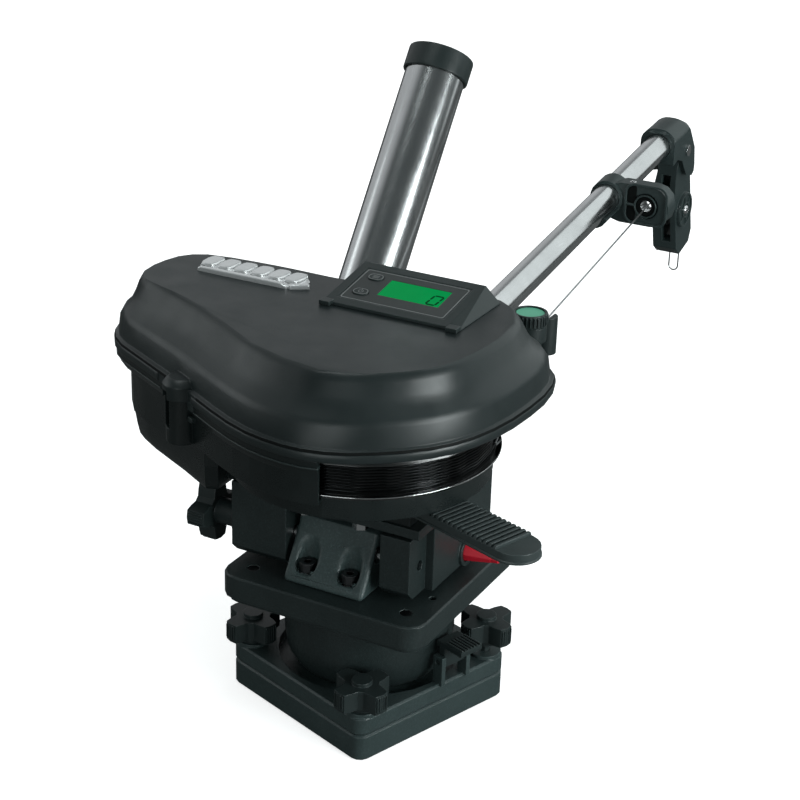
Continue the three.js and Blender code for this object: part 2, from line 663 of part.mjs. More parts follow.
function tiltLockBracket() {
  const bottom = turret.top + seat;
  const inner = lockBracket.outer - lockBracket.thickness;
  const room = plunger.noseRadius + slide;
  return cut(
    join(
      block(
        [inner, lockBracket.front, bottom],
        [lockBracket.outer, lockBracket.back, bottom + lockBracket.height],
      ),
      block(
        [lockBracket.outer - lockBracket.foot, lockBracket.front, bottom],
        [lockBracket.outer, lockBracket.back, bottom + lockBracket.footHeight],
      ),
    ),
    cylinderX(room, 0, 2 * overrun, [plunger.y, plunger.z], coarse),
    block(
      [inner - overrun, plunger.y - room, plunger.z],
      [lockBracket.outer + overrun, plunger.y + room + lockBracket.slotLean, plunger.z + overrun],
    ),
  );
}

addPiece('turret_bowl', turretBowl(), 'darkPlastic');
addPiece('turret_plate', turretPlate(), 'darkPlastic');
for (const [name, place] of screwPlaces) {
  addPiece(`turret_screw_${name}`, turretScrew(place), 'blackSteel');
}
addPiece('tilt_knuckle', tiltKnuckle(), 'darkPlastic');
for (const [name, place] of knuckleBores) {
  addPiece(`knuckle_bolt_${name}`, knuckleBolt(place), 'brightSteel');
}
addPiece('tilt_lock_bracket', tiltLockBracket(), 'blackSteel');

// Tilting frame pieces
const frameBolts = [['left', -1], ['right', 1]].map(([name, sign]) => {
  return [name, [frameBolt.middle + sign * frameBolt.x, frameBolt.y]];
});

function lugProfile(back, top) {
  return [
    [frame.front + frame.lugChamfer, frame.bottom], [back, frame.bottom], [back, top], [frame.front, top],
    [frame.front, frame.bottom + frame.lugChamfer],
  ];
}

function tiltFrame() {
  const { left, right, front, back, bottom, plateBottom, top, wall } = frame;
  const rightInner = right - wall;
  let solid = join(
    block([left, front, plateBottom], [right, back, top]),
    prismX(lugProfile(frame.lugBack, plateBottom + wall / 2), left, frame.lugInnerLeft),
    prismX(lugProfile(frame.lugBack, frame.lugTopRight), frame.lugInnerRight, frame.lugOuterRight),
    block([left, frame.lugBack - wall, bottom], [left + wall, back, top]),
    block([rightInner, frame.wallStart, bottom], [right, back, top]),
    block([left, back - wall, bottom], [right, back, top]),
    cylinderX(plunger.bossRadius, plunger.bossInner, right + plunger.bossProud, [plunger.y, plunger.z]),
  );
  const pocket = frame.pocketInset;
  solid = cut(
    solid,
    cylinderX(pivot.rodRadius + slide, left - overrun, frame.lugOuterRight - frame.endHoleDepth, tiltAxis),
    cylinderX(frame.endHoleRadius, 0, frame.lugOuterRight + wall / 2, tiltAxis, coarse),
    cylinderX(plunger.noseRadius + slide, 0, right + overrun, [plunger.y, plunger.z], coarse),
    cylinderX(plunger.radius + slide, right - plunger.pocket, right + overrun, [plunger.y, plunger.z]),
    block(
      [frame.lugInnerRight + pocket, front + pocket, frame.lugTopRight - frame.pocketDepth],
      [frame.lugOuterRight - pocket, frame.wallStart - pocket, frame.lugTopRight + wall / 2],
    ),
  );
  for (const [, place] of frameBolts) {
    const hole = cylinder(frameBolt.radius + seat, plateBottom - overrun, top + overrun, place, coarse);
    solid = cut(solid, hole);
  }
  return solid;
}

function frameBoltSolid(place) {
  const headTop = frame.plateBottom - seat;
  return join(
    cylinder(frameBolt.headRadius, headTop - frameBolt.headHeight, headTop, place, 6),
    cylinder(frameBolt.radius, headTop - frameBolt.headHeight, frameBolt.top, place, coarse),
  );
}

const washerInner = frame.left - seat;
const washerOuter = washerInner - tiltKnob.washerThickness;
const tiltNeckEnd = washerOuter - seat - tiltKnob.neckLength;
const tiltHeadEnd = tiltNeckEnd - tiltKnob.headLength;
const tiltAxis = [pivot.y, pivot.z];

function tiltRod() {
  const outer = tiltNeckEnd - tiltKnob.boreDepth + slide;
  return cylinderX(pivot.rodRadius, outer, frame.lugOuterRight - frame.endHoleDepth - seat, tiltAxis);
}

function tiltWasher() {
  return cut(
    cylinderX(tiltKnob.washerRadius, washerOuter, washerInner, tiltAxis),
    cylinderX(pivot.rodRadius + seat, washerOuter - overrun, washerInner + overrun, tiltAxis),
  );
}

function tiltKnobSolid() {
  const star = starOutline(tiltKnob.outerRadius, tiltKnob.innerRadius, tiltKnob.lobes);
  const shifted = star.map(([y, z]) => [y + pivot.y, z + pivot.z]);
  return cut(
    join(
      prismX(shifted, tiltHeadEnd, tiltNeckEnd),
      cylinderX(tiltKnob.neckRadius, tiltHeadEnd, washerOuter - seat, tiltAxis),
      cylinderX(tiltKnob.capRadius, tiltHeadEnd - tiltKnob.capHeight, tiltNeckEnd, tiltAxis),
    ),
    cylinderX(pivot.rodRadius + slide, tiltNeckEnd - tiltKnob.boreDepth, 0, tiltAxis),
  );
}

function lockPlunger() {
  const start = frame.right + seat;
  const end = start + plunger.length;
  const seam = start + plunger.tipSeamShare * plunger.length;
  const at = [plunger.y, plunger.z];
  const seamRadius = plunger.radius + plunger.tipSeamShare * (plunger.tipRadius - plunger.radius);
  return join(
    cylinderX(plunger.noseRadius, plunger.noseInner, start + plunger.noseRadius, at, coarse),
    cylinderX(plunger.radius, start, seam, at, coarse, seamRadius),
    cylinderX(seamRadius - seat, seam - seat, end, at, coarse, plunger.tipRadius),
  );
}

addPiece('tilt_frame', tiltFrame(), 'darkPlastic');
for (const [name, place] of frameBolts) {
  addPiece(`frame_bolt_${name}`, frameBoltSolid(place), 'brightSteel');
}
addPiece('tilt_rod', tiltRod(), 'brightSteel');
addPiece('tilt_washer', tiltWasher(), 'blackSteel');
addPiece('tilt_knob', tiltKnobSolid(), 'blackPlastic');
addPiece('tilt_lock_plunger', lockPlunger(), 'red');

// Housing tub
const rimOutline = smoothOutline(rimShares);
const plateauOutline = smoothOutline(plateauShares);
const reelAxis = [reel.x, reel.y];
const polar = (radius, angle) => [reel.x + radius * Math.cos(angle), reel.y + radius * Math.sin(angle)];
const tubTop = housing.rimBottom - seat;
const gearAt = (distance) => polar(distance, gearDirection);
const idlerDistance = (gear.module * (gear.driveTeeth + gear.idlerTeeth)) / 2;
const motorDistance = idlerDistance + (gear.module * (gear.idlerTeeth + gear.pinionTeeth)) / 2;
const idlerAxis = gearAt(idlerDistance);
const motorAxis = gearAt(motorDistance);
const gearLow = spool.top + clutchDisc.thickness + 2 * seat;
const gearHigh = gearLow + gear.height;

function wedge(from, to, radius, low, high) {
  const points = [reelAxis];
  const steps = 8;
  for (let i = 0; i <= steps; i += 1) points.push(polar(radius, from + ((to - from) * i) / steps));
  return prism(points, low, high);
}

function potOutline(share) {
  return potShares.map(([x, y]) => [
    housing.potX + share * (x * housing.reach - housing.potX),
    housing.potY + share * (y * housing.reach - housing.potY),
  ]);
}

function housingTub() {
  const lipBottom = tubTop - housing.lip;
  const potTop = lipBottom + seat;
  const chamberRadius = spool.radius + housing.spoolRoom;
  const panRadius = spool.radius - housing.panInset;
  const panLow = housing.panBottom - housing.wall;
  const reach = 2 * housing.reach;
  const wallOutline = insetOutline(rimOutline, housing.lipInset);
  const lipOutline = insetOutline(rimOutline, housing.lipStep);
  const lip = loft([
    atHeight(wallOutline, lipBottom),
    atHeight(lipOutline, tubTop - housing.lipFace),
    atHeight(lipOutline, tubTop),
  ]);
  const skirt = cut(
    loft([
      atHeight(insetOutline(rimOutline, housing.lipInset + seat), housing.skirtBottom),
      atHeight(wallOutline, lipBottom + seat),
    ]),
    block([-reach, -reach, 0], [cover.hoodX, reach, lipBottom]),
  );
  const potRings = potHeightShares.map((share, i) => {
    const z = housing.potBottom + share * (potTop - housing.potBottom);
    return atHeight(potOutline(potWidthShares[i]), z);
  });
  const outer = join(
    lip, skirt, loft(potRings),
    cylinder(panRadius, housing.panBottom, housing.floor, reelAxis, fine),
    cylinder(panRadius - housing.panStep, panLow, housing.panBottom + seat, reelAxis, fine),
    block(
      [housing.blockLeft, housing.blockFront, frame.top + seat],
      [housing.blockRight, housing.blockBack, housing.floor],
    ),
    block([socket.footLeft, 0, housing.skirtBottom], [socket.footRight, socket.front - seat, socket.tubRise]),
    block([rod.armLeft, 0, housing.skirtBottom], [rod.armRight, rod.armFront - seat, rod.armTop]),
    cylinder(powerSocket.radius, housing.skirtBottom, tubTop, [cover.hoodX, cover.hoodY]),
    cylinder(motor.shaftRadius, housing.skirtBottom, gearHigh, idlerAxis, coarse),
  );
  const chamber = cylinder(chamberRadius, housing.floor, tubTop + overrun, reelAxis, fine);
  const openSector = cut(
    wedge(housing.skirtEnd, housing.skirtReturn, reach, housing.skirtBottom - housing.lip, tubTop + overrun),
    cylinder(panRadius, 0, housing.floor, reelAxis, fine),
  );
  const potRoom = cut(
    loft([
      atHeight(potOutline(potRoomShare), motor.bottom - seat),
      atHeight(potOutline(potRoomShare), tubTop + overrun),
    ]),
    cylinder(chamberRadius + housing.partition, 0, tubTop + 2 * overrun, reelAxis, fine),
    cylinder(powerSocket.radius, 0, tubTop + 2 * overrun, [cover.hoodX, cover.hoodY]),
    cylinder(motor.bossRadius, 0, tubTop, idlerAxis, coarse),
    cylinder(motor.shaftRadius, 0, gearHigh, idlerAxis, coarse),
  );
  const leverRoom = join(
    cylinder(clutchLever.hubRadius + 2 * slide, leverLow, leverHigh, reelAxis),
    wedge(degrees(clutchLever.slotBelow), degrees(clutchLever.slotAbove), housing.reach, leverLow, leverHigh),
  );
  const leverCore = cylinder(clutchLever.boreRadius - slide, leverLow - overrun, leverHigh + seat, reelAxis);
  let solid = cut(outer, chamber, openSector, potRoom, cut(leverRoom, leverCore));
  for (const [, place] of frameBolts) {
    solid = cut(solid, cylinder(frameBolt.radius + seat, 0, frameBolt.top + seat, place, coarse));
  }
  const { slotWidth, depth, slotBottom } = powerSocket;
  const socketRoom = socketSlot(slotWidth, 2 * depth, slotBottom, tubTop + overrun);
  return cut(
    solid, socketRoom,
    cylinder(shaft.radius + seat, shaft.bottom - seat, tubTop, reelAxis),
  );
}

const leverLow = clutchLever.bottom - slide;
const leverHigh = clutchLever.bottom + clutchLever.thickness + clutchLever.ribHeight + slide;

// Turns what is built facing -Y to face out of the hood
function inHood(solid) {
  const at = [cover.hoodX, cover.hoodY + powerSocket.radius / 3, 0];
  return solid.rotate([0, 0, powerSocket.turn]).translate(at);
}

// The slot of the power socket, open to the front left
function socketSlot(width, depth, low, high) {
  return inHood(block([-width / 2, -depth, low], [width / 2, 0, high]));
}

function powerSocketSolid() {
  const { slotWidth, slotBottom, bodyHeight, bodyDepth, pinRadius, pinLength, pinShares } = powerSocket;
  const low = slotBottom + seat;
  const pins = pinShares.map((share) => {
    const at = [0, low + share * bodyHeight];
    return cylinderY(pinRadius, -bodyDepth - pinLength, seat - bodyDepth, at, coarse);
  });
  return join(
    socketSlot(slotWidth - 2 * seat, bodyDepth, low, low + bodyHeight),
    inHood(join(...pins)),
  );
}

function coverRings(inset, drop, levels = coverHeightShares.keys()) {
  return [...levels].map((i) => {
    const z = housing.rimBottom + coverHeightShares[i] * cover.height - drop * (i > 0);
    const rim = insetOutline(rimOutline, inset);
    const plateau = insetOutline(plateauOutline, inset);
    return rim.map((point, k) => [...mix(point, plateau[k], coverInsetShares[i]), z]);
  });
}

function coverShell() {
  const hoodAt = [cover.hoodX, cover.hoodY];
  const hoodTop = housing.rimBottom + cover.hoodHeight;
  const { hoodRadius, hoodDome } = cover;
  const { slotWidth, depth, slotTop } = powerSocket;
  const hood = turned([
    [0, housing.rimBottom], [hoodRadius, housing.rimBottom], [hoodRadius, hoodTop - hoodDome],
    [hoodRadius - hoodDome / 2, hoodTop - hoodDome / 3], [hoodRadius - hoodDome, hoodTop], [0, hoodTop],
  ], hoodAt, medium);
  const rings = coverRings(housing.wall, housing.wall, coverInnerLevels);
  const floor = rings[0].map(([x, y, z]) => [x, y, z - overrun]);
  return cut(
    join(loft(coverRings(0, 0)), hood),
    loft([floor, ...rings]),
    socketSlot(slotWidth, 2 * depth, housing.rimBottom - overrun, slotTop),
  );
}

addPiece('housing_tub', housingTub(), 'darkPlastic');
addPiece('power_socket', powerSocketSolid(), 'blackPlastic');
addPiece('cover_shell', coverShell(), 'coverPlastic');

// Reel pieces
const hubInner = shaft.radius + slide;

function reelShaft() {
  const top = spool.top + clutchDisc.thickness + gear.height + 4 * seat;
  return join(
    cylinder(shaft.radius, shaft.bottom, shaft.top, reelAxis),
    cylinder(shaft.nutRadius, top, top + shaft.nutHeight, reelAxis, 6),
  );
}

function bearingSolid() {
  return cut(
    cylinder(spool.boreRadius - seat, spool.bottom + seat, spool.top - seat, reelAxis),
    cylinder(shaft.radius + seat, spool.bottom - overrun, spool.top + overrun, reelAxis),
  );
}

function spoolSolid() {
  const { radius, flange, bottom, top, coreRadius, boreRadius, web } = spool;
  const middle = (bottom + top) / 2;
  const drum = coreRadius - web;
  return turned([
    [boreRadius, bottom], [radius - flange / 2, bottom], [radius, bottom + flange],
    [coreRadius, bottom + flange], [coreRadius, top - flange], [radius, top - flange],
    [radius - flange / 2, top], [drum, top], [drum, middle], [boreRadius + web, middle],
    [boreRadius + web, top], [boreRadius, top],
  ], reelAxis);
}

// The outer layer of wound line, one tube from the lowest loop to the highest
function windingPoints() {
  const first = spool.bottom + spool.flange + line.radius + seat;
  const steps = line.loops * line.steps;
  const points = [];
  for (let i = 0; i <= steps; i += 1) {
    const angle = lineLeave.angle - (i / line.steps) * fullTurn;
    const [x, y] = polar(line.windRadius, angle);
    points.push([x, y, first + (i / line.steps) * line.pitch]);
  }
  const lead = leaving(line.tail);
  return [lead, ...points];
}

function leastSelfGap(points) {
  let least = Infinity;
  const skip = Math.floor(line.steps / 2);
  for (let i = 0; i < points.length; i += 1) {
    for (let k = i + skip; k < points.length; k += 1) {
      const apart = Math.hypot(...points[i].map((value, axis) => value - points[k][axis]));
      least = Math.min(least, apart - 2 * line.radius);
    }
  }
  return least;
}

// The point where the line leaves the spool for the guide
const lineLeave = (() => {
  const toGuide = [guide.x - reel.x, guide.y - reel.y];
  const far = Math.hypot(...toGuide);
  const angle = Math.atan2(toGuide[1], toGuide[0]) - Math.acos(line.windRadius / far);
  const [x, y] = polar(line.windRadius, angle);
  return { angle, x, y, z: spool.bottom + spool.flange + line.radius + seat };
})();

// A point on the straight run, so far off the spool
function leaving(away) {
  return [
    lineLeave.x - away * Math.sin(lineLeave.angle), lineLeave.y + away * Math.cos(lineLeave.angle), lineLeave.z,
  ];
}

const winding = windingPoints();
console.log(`least gap between loops of the winding: ${leastSelfGap(winding).toFixed(2)} mm`);

function clutchDiscSolid() {
  const low = spool.top + seat;
  return cut(
    cylinder(clutchDisc.radius, low, low + clutchDisc.thickness, reelAxis, medium),
    cylinder(spool.boreRadius, low - overrun, low + overrun, reelAxis),
  );
}

function gearSolid(teeth, axis, phase, bore) {
  return cut(
    prism(gearOutline(teeth, axis, phase), gearLow, gearHigh),
    cylinder(bore, gearLow - overrun, gearHigh + overrun, axis),
  );
}

// Teeth meet gaps on the line between two gear axes, with an even number of teeth on the idler
const facing = gearDirection + Math.PI;
const halfTooth = (teeth) => fullTurn / teeth / 2;

function clutchLeverSolid() {
  const { hubRadius, boreRadius, bottom, thickness, direction } = clutchLever;
  const { rootWidth, padWidth, padStart, tipRadius } = clutchLever;
  const top = bottom + thickness;
  const half = padWidth / 2;
  const outline = [[0, -rootWidth / 2], [padStart - half, -rootWidth / 2], [padStart, -half]];
  const steps = 12;
  for (let i = 0; i <= steps; i += 1) {
    const angle = -Math.PI / 2 + (i / steps) * Math.PI;
    outline.push([tipRadius - half + half * Math.cos(angle), half * Math.sin(angle)]);
  }
  outline.push([padStart, half], [padStart - half, rootWidth / 2], [0, rootWidth / 2]);
  const spin = ([x, y]) => [
    reel.x + x * Math.cos(direction) - y * Math.sin(direction),
    reel.y + x * Math.sin(direction) + y * Math.cos(direction),
  ];
  let solid = join(
    prism(outline.map(spin), bottom, top),
    cylinder(hubRadius, bottom, top, reelAxis),
  );
  const ribEnd = tipRadius - half;
  const pitch = (ribEnd - padStart) / clutchLever.ribs;
  const inset = clutchLever.ribHeight * 2;
  for (let i = 0; i < clutchLever.ribs; i += 1) {
    const near = padStart + i * pitch;
    const far = near + clutchLever.ribShare * pitch;
    const corners = [[near, -half + inset], [far, -half + inset], [far, half - inset], [near, half - inset]];
    solid = join(solid, prism(corners.map(spin), top - seat, top + clutchLever.ribHeight));
  }
  return cut(solid, cylinder(boreRadius, bottom - overrun, top + overrun, reelAxis));
}

function motorSolid() {
  const shoulder = motor.bottom + motor.endHeight;
  return join(
    cylinder(motor.endRadius, motor.bottom, shoulder, motorAxis, medium, motor.radius),
    cylinder(motor.radius, shoulder, tubTop, motorAxis),
    cylinder(motor.shaftRadius, shoulder, gearHigh + seat, motorAxis, coarse),
  );
}

addPiece('reel_shaft', reelShaft(), 'steel');
addPiece('reel_bearing', bearingSolid(), 'brightSteel');
addPiece('spool', spoolSolid(), 'spoolPlastic');
addPiece('wound_line', tube(winding, line.radius, line.sides), 'cable');
addPiece('clutch_disc', clutchDiscSolid(), 'friction');
addPiece('drive_gear', gearSolid(gear.driveTeeth, reelAxis, gearDirection, hubInner), 'gearPlastic');
const idlerPhase = facing + halfTooth(gear.idlerTeeth);
const gearBore = motor.shaftRadius + slide;
addPiece('idler_gear', gearSolid(gear.idlerTeeth, idlerAxis, idlerPhase, gearBore), 'gearPlastic');
addPiece('motor_pinion', gearSolid(gear.pinionTeeth, motorAxis, facing, gearBore), 'brass');
addPiece('motor', motorSolid(), 'steel');
addPiece('clutch_lever', clutchLeverSolid(), 'blackPlastic');

// Display pieces: their faces slope with the bezel
const plateauTop = housing.rimBottom + cover.height;
const bezelBottom = plateauTop + seat;
const slopeAt = (y) => bezelBottom + display.frontRise + (y - display.front) * display.slope;

// A slab that follows the bezel's slope, between two offsets from its face
function slopedSlab(left, right, front, back, lower, upper) {
  const corners = [[left, front], [right, front], [right, back], [left, back]];
  return loft([
    corners.map(([x, y]) => [x, y, slopeAt(y) + lower]),
    corners.map(([x, y]) => [x, y, slopeAt(y) + upper]),
  ]);
}

function slopedOval(x, y, length, width, lower, upper) {
  const outline = roundedRect(length, width, width / 2 - seat / 10);
  const ring = (offset) => outline.map(([u, v]) => [x + u, y + v, slopeAt(y + v) + offset]);
  return loft([ring(lower), ring(upper)]);
}

function buttonHole(y, floor) {
  const { buttonX, buttonLength, buttonWidth } = display;
  return slopedOval(buttonX, y, buttonLength + 2 * slide, buttonWidth + 2 * slide, floor, overrun);
}

const buttonPlaces = [['power', display.buttonFront], ['mode', display.buttonBack]];

function displayBezel() {
  const { left, right, front, back, flank, flankLeft, flankRight } = display;
  const low = atHeight([[left, front], [right, front], [right, back], [left, back]], bezelBottom);
  const high = [
    [left + flankLeft, front + seat], [right - flankRight, front + seat], [right - flankRight, back - flank],
    [left + flankLeft, back - flank],
  ].map(([x, y]) => [x, y, slopeAt(y)]);
  const foot = (x) => block(
    [x, front - display.footDepth / 2, bezelBottom],
    [x + display.footWidth, front + display.footDepth / 2, bezelBottom + display.footHeight],
  );
  let solid = join(loft([low, high]), foot(left), foot(right - display.footWidth));
  solid = cut(solid, slopedSlab(
    display.panelLeft - seat, display.panelRight + seat, display.panelFront - seat, display.panelBack + seat,
    -display.recess, overrun,
  ));
  for (const [, y] of buttonPlaces) {
    const floor = -display.recess - display.buttonTravel - 2 * seat;
    solid = cut(solid, buttonHole(y, floor));
  }
  return solid;
}

const panelLow = seat - display.recess;
const panelHigh = panelLow + display.panelThickness;

function displayPanel() {
  const { panelLeft, panelRight, panelFront, panelBack, lcdLeft, lcdRight, lcdFront, lcdBack } = display;
  let solid = cut(
    slopedSlab(panelLeft, panelRight, panelFront, panelBack, panelLow, panelHigh),
    slopedSlab(lcdLeft, lcdRight, lcdFront, lcdBack, -overrun / 2, overrun),
  );
  for (const [, y] of buttonPlaces) {
    solid = cut(solid, buttonHole(y, -overrun / 2));
  }
  return solid;
}

function displayScreen() {
  return slopedSlab(
    display.lcdLeft + seat, display.lcdRight - seat, display.lcdFront + seat, display.lcdBack - seat,
    panelLow, panelLow + display.lcdThickness,
  );
}

function buttonSolid(y) {
  const { buttonX, buttonLength, buttonWidth, buttonProud } = display;
  return slopedOval(buttonX, y, buttonLength, buttonWidth, panelLow - seat, panelHigh + buttonProud);
}

function circuitBoard() {
  const top = plateauTop - housing.wall - seat;
  const margin = display.boardMargin;
  return block(
    [display.panelLeft + margin, display.panelFront + margin, top - display.boardThickness],
    [display.panelRight - margin, display.panelBack - margin, top],
  );
}

addPiece('display_bezel', displayBezel(), 'blackPlastic');
addPiece('display_panel', displayPanel(), 'panel');
addPiece('display_screen', displayScreen(), 'glowGreen');
for (const [name, y] of buttonPlaces) addPiece(`${name}_button`, buttonSolid(y), 'blackPlastic');
addPiece('circuit_board', circuitBoard(), 'board');

// Boom pieces. The boom rises outboard; its own length is measured in plan.
const boomZ = (y) => boom.z + (y - boom.y) * Math.tan(boom.rise);

function alongBoom(solid, y) {
  return solid.rotate([(boom.rise * 180) / Math.PI, 0, 0]).translate([boom.x, y, boomZ(y)]);
}

function boomRun(radius, from, to, facets = medium) {
  const length = (to - from) / Math.cos(boom.rise);
  return alongBoom(cylinderY(radius, 0, length, [0, 0], facets), from);
}

function boomTube() {
  const { outerRadius, innerRadius, start, end } = boom;
  return cut(boomRun(outerRadius, start, end), boomRun(innerRadius, start - overrun, end + overrun));
}

function boomSocket() {
  const { left, right, front, back, bottom, top, footLeft, footRight, footTop, round } = socket;
  const { armFront, armBack, armBottom, armTop, bossTop } = socket;
  const shape = roundedRect(right - left, back - front, round);
  const middle = [(left + right) / 2, (front + back) / 2];
  const knobAt = [lockKnob.x, lockKnob.y];
  const guideAt = [guide.x, guide.y];
  return cut(
    join(
      prism(shape.map(([x, y]) => [x + middle[0], y + middle[1]]), bottom, top),
      block([footLeft, front, bottom], [footRight, back - round, footTop]),
      block([right - round, armFront, armBottom], [knobAt[0], armBack, armTop]),
      cylinder(lockKnob.radius, armBottom, bossTop, knobAt),
      block(
        [right - round, back - 2 * round, guide.bottom],
        [guide.x, guide.y + guide.radius, guide.armTop],
      ),
      cylinder(guide.radius, guide.bottom, guide.top, guideAt, medium),
    ),
    boomRun(boom.outerRadius + seat, boom.start - seat, back + 2 * overrun),
    cylinder(lockKnob.studRadius + seat, lockKnob.studBottom - seat, bossTop + overrun, knobAt, coarse),
    block(
      [guide.x - guide.slot / 2, guide.y - overrun / 2, guide.top - guide.slotDepth],
      [guide.x + guide.slot / 2, guide.y + overrun, guide.top + overrun],
    ),
  );
}

const knobTop = socket.bossTop + seat + lockKnob.height;

function boomLockKnob() {
  const at = [lockKnob.x, lockKnob.y];
  return join(
    cylinder(lockKnob.radius, socket.bossTop + seat, knobTop, at),
    cylinder(lockKnob.studRadius, lockKnob.studBottom, knobTop - seat, at, coarse),
  );
}

function boomLockCap() {
  const low = knobTop + seat;
  return cylinder(lockKnob.capRadius, low, low + lockKnob.capHeight, [lockKnob.x, lockKnob.y]);
}

function boomBracket() {
  const { y, sleeveRadius, sleeveBack, sleeveFront, troughFront, troughDrop } = bracket;
  const { left, right, bottom, plateTop, plateHalf, corner } = bracket;
  const { eyeX, eyeZ, eyeRadius, recessRadius, recessDepth, screwX, screwRadius, screwDepth } = bracket;
  const plate = roundedRect(right - left, plateTop - bottom, corner).map(([x, z]) => [
    x + (left + right) / 2, z + (bottom + plateTop) / 2,
  ]);
  const web = prism(plate, -plateHalf, plateHalf).rotate([90, 0, 0]).translate([0, y, 0]);
  const aboveTrough = block(
    [boom.x - overrun, y - troughFront - overrun, boomZ(y - troughFront) - troughDrop],
    [boom.x + overrun, y - sleeveFront, boomZ(y) + overrun],
  );
  const sleeve = cut(boomRun(sleeveRadius, y - troughFront, y + sleeveBack), aboveTrough);
  return cut(
    join(sleeve, web),
    boomRun(boom.outerRadius + seat, y - troughFront - overrun, y + overrun),
    cylinderY(eyeRadius, y - overrun, y + overrun, [eyeX, eyeZ]),
    cylinderY(recessRadius, y - overrun, y - plateHalf + recessDepth, [eyeX, eyeZ]),
    cylinder(screwRadius, plateTop - screwDepth, plateTop + overrun, [screwX, y], coarse),
  );
}

function fairleadRing() {
  const half = bracket.ringLength / 2;
  const at = [bracket.eyeX, bracket.eyeZ];
  return cut(
    cylinderY(bracket.eyeRadius - seat, bracket.y - half, bracket.y + half, at),
    cylinderY(bracket.ringInner, bracket.y - overrun, bracket.y + overrun, at),
  );
}

const noseAxis = [nose.pivotY, nose.pivotZ];

function noseCap() {
  const { sleeveRadius, start, sleeveEnd, left, right, cheek, crown, reach, room } = nose;
  const ear = earShares.map(([y, z]) => [nose.pivotY + y * reach, nose.pivotZ + z * reach]);
  const ridge = ear.slice(0, 4);
  const inner = [...ridge].reverse().map(([y, z]) => [y - crown, z - crown]);
  const roundTop = join(
    boomRun((right - left) / 2, start - overrun, start + 2 * overrun, medium),
    block([left, start, nose.pivotZ - reach], [right, start + 2 * overrun, boomZ(start)]),
  );
  const ears = join(
    prismX(ear, left, left + cheek),
    prismX(ear, right - cheek, right),
    prismX([...ridge, ...inner], left + cheek / 2, right - cheek / 2),
  );
  return cut(
    join(boomRun(sleeveRadius, start, sleeveEnd), ears.intersect(roundTop)),
    boomRun(boom.outerRadius + seat, start - overrun, boom.end + seat),
    cylinderX(room, left + cheek, right - cheek, noseAxis),
    cylinderX(nose.pinRadius + seat, -overrun, 2 * overrun, noseAxis, coarse),
  );
}

function noseScrew() {
  const far = nose.right + seat;
  return join(
    cylinderX(nose.pinRadius, nose.left, far + seat, noseAxis, coarse),
    cylinderX(nose.screwHead, far, far + nose.screwHeight, noseAxis, coarse),
  );
}

// The head is drawn hanging straight from its pivot and then leaned outboard
function hung(solid) {
  return solid.rotate([head.lean, 0, 0]).translate([0, nose.pivotY, nose.pivotZ]);
}

const wheelAxis = (() => {
  const lean = degrees(head.lean);
  return [
    nose.pivotY + head.wheelY * Math.cos(lean) - head.wheelZ * Math.sin(lean),
    nose.pivotZ + head.wheelY * Math.sin(lean) + head.wheelZ * Math.cos(lean),
  ];
})();
const wheelMiddle = (head.slotLeft + head.slotRight) / 2;

function pulleyHead() {
  const { left, right, halfDepth, height, slotLeft, slotRight, slotTop, slotBottom, backWall, tongue } = head;
  const { wheelY, wheelZ, axleRadius, plateRadius, plateProud } = head;
  const { exitLeft, exitRight, exitFront, exitBack } = head;
  const side = headShares.map(([y, z]) => [y * halfDepth, z * height]);
  const beside = head.wideLeft - overrun;
  const taper = prism([
    [beside, overrun], [beside, head.wideEnd], [head.wideLeft, head.wideEnd], [left, head.wideStart],
    [left, overrun],
  ], -overrun, overrun).rotate([90, 0, 0]);
  const solid = cut(
    join(
      cut(prismX(side, head.wideLeft, right), taper),
      cylinderX(tongue, left, right, [0, 0]),
      cylinderX(plateRadius, right - slide, right + plateProud, [wheelY, wheelZ]),
    ),
    block([slotLeft, -halfDepth - overrun, slotBottom], [slotRight, halfDepth - backWall, slotTop]),
    block([exitLeft, exitFront, -height - overrun], [exitRight, exitBack, slotBottom + seat]),
    cylinderX(nose.pinRadius + slide, -overrun, 2 * overrun, [0, 0], coarse),
  );
  return hung(join(solid, cylinderX(axleRadius, left + seat, right - seat, [wheelY, wheelZ], coarse)));
}

function pulleyWheel() {
  const half = (head.slotRight - head.slotLeft) / 2 - slide;
  const bore = head.axleRadius + slide;
  const lip = 2 * slide;
  const solid = turned([
    [bore, -half], [head.wheelRadius, -half], [head.wheelRadius, lip - half],
    [head.wheelRadius - head.groove, 0], [head.wheelRadius, half - lip], [head.wheelRadius, half],
    [bore, half],
  ], [0, 0], medium);
  return solid.rotate([0, 90, 0]).translate([wheelMiddle, ...wheelAxis]);
}

addPiece('boom_socket', boomSocket(), 'blackPlastic');
addPiece('boom_lock_knob', boomLockKnob(), 'blackPlastic');
addPiece('boom_lock_cap', boomLockCap(), 'mint');
addPiece('boom_tube', boomTube(), 'steel');
addPiece('boom_bracket', boomBracket(), 'blackPlastic');
addPiece('fairlead_ring', fairleadRing(), 'steel');
addPiece('nose_cap', noseCap(), 'blackPlastic');
addPiece('nose_screw', noseScrew(), 'blackSteel');
addPiece('pulley_head', pulleyHead(), 'blackPlastic');
addPiece('pulley_wheel', pulleyWheel(), 'panel');

// Running line: from the spool through the guide and the fairlead to the pulley, then down to its loop
const lineRide = head.wheelRadius - head.groove + line.radius + drop.clearance;

function arcOver(from, to, steps) {
  const points = [];
  for (let i = 0; i <= steps; i += 1) {
    const angle = from + ((to - from) * i) / steps;
    const [y, z] = wheelAxis;
    points.push([wheelMiddle, y + lineRide * Math.cos(angle), z + lineRide * Math.sin(angle)]);
  }
  return points;
}

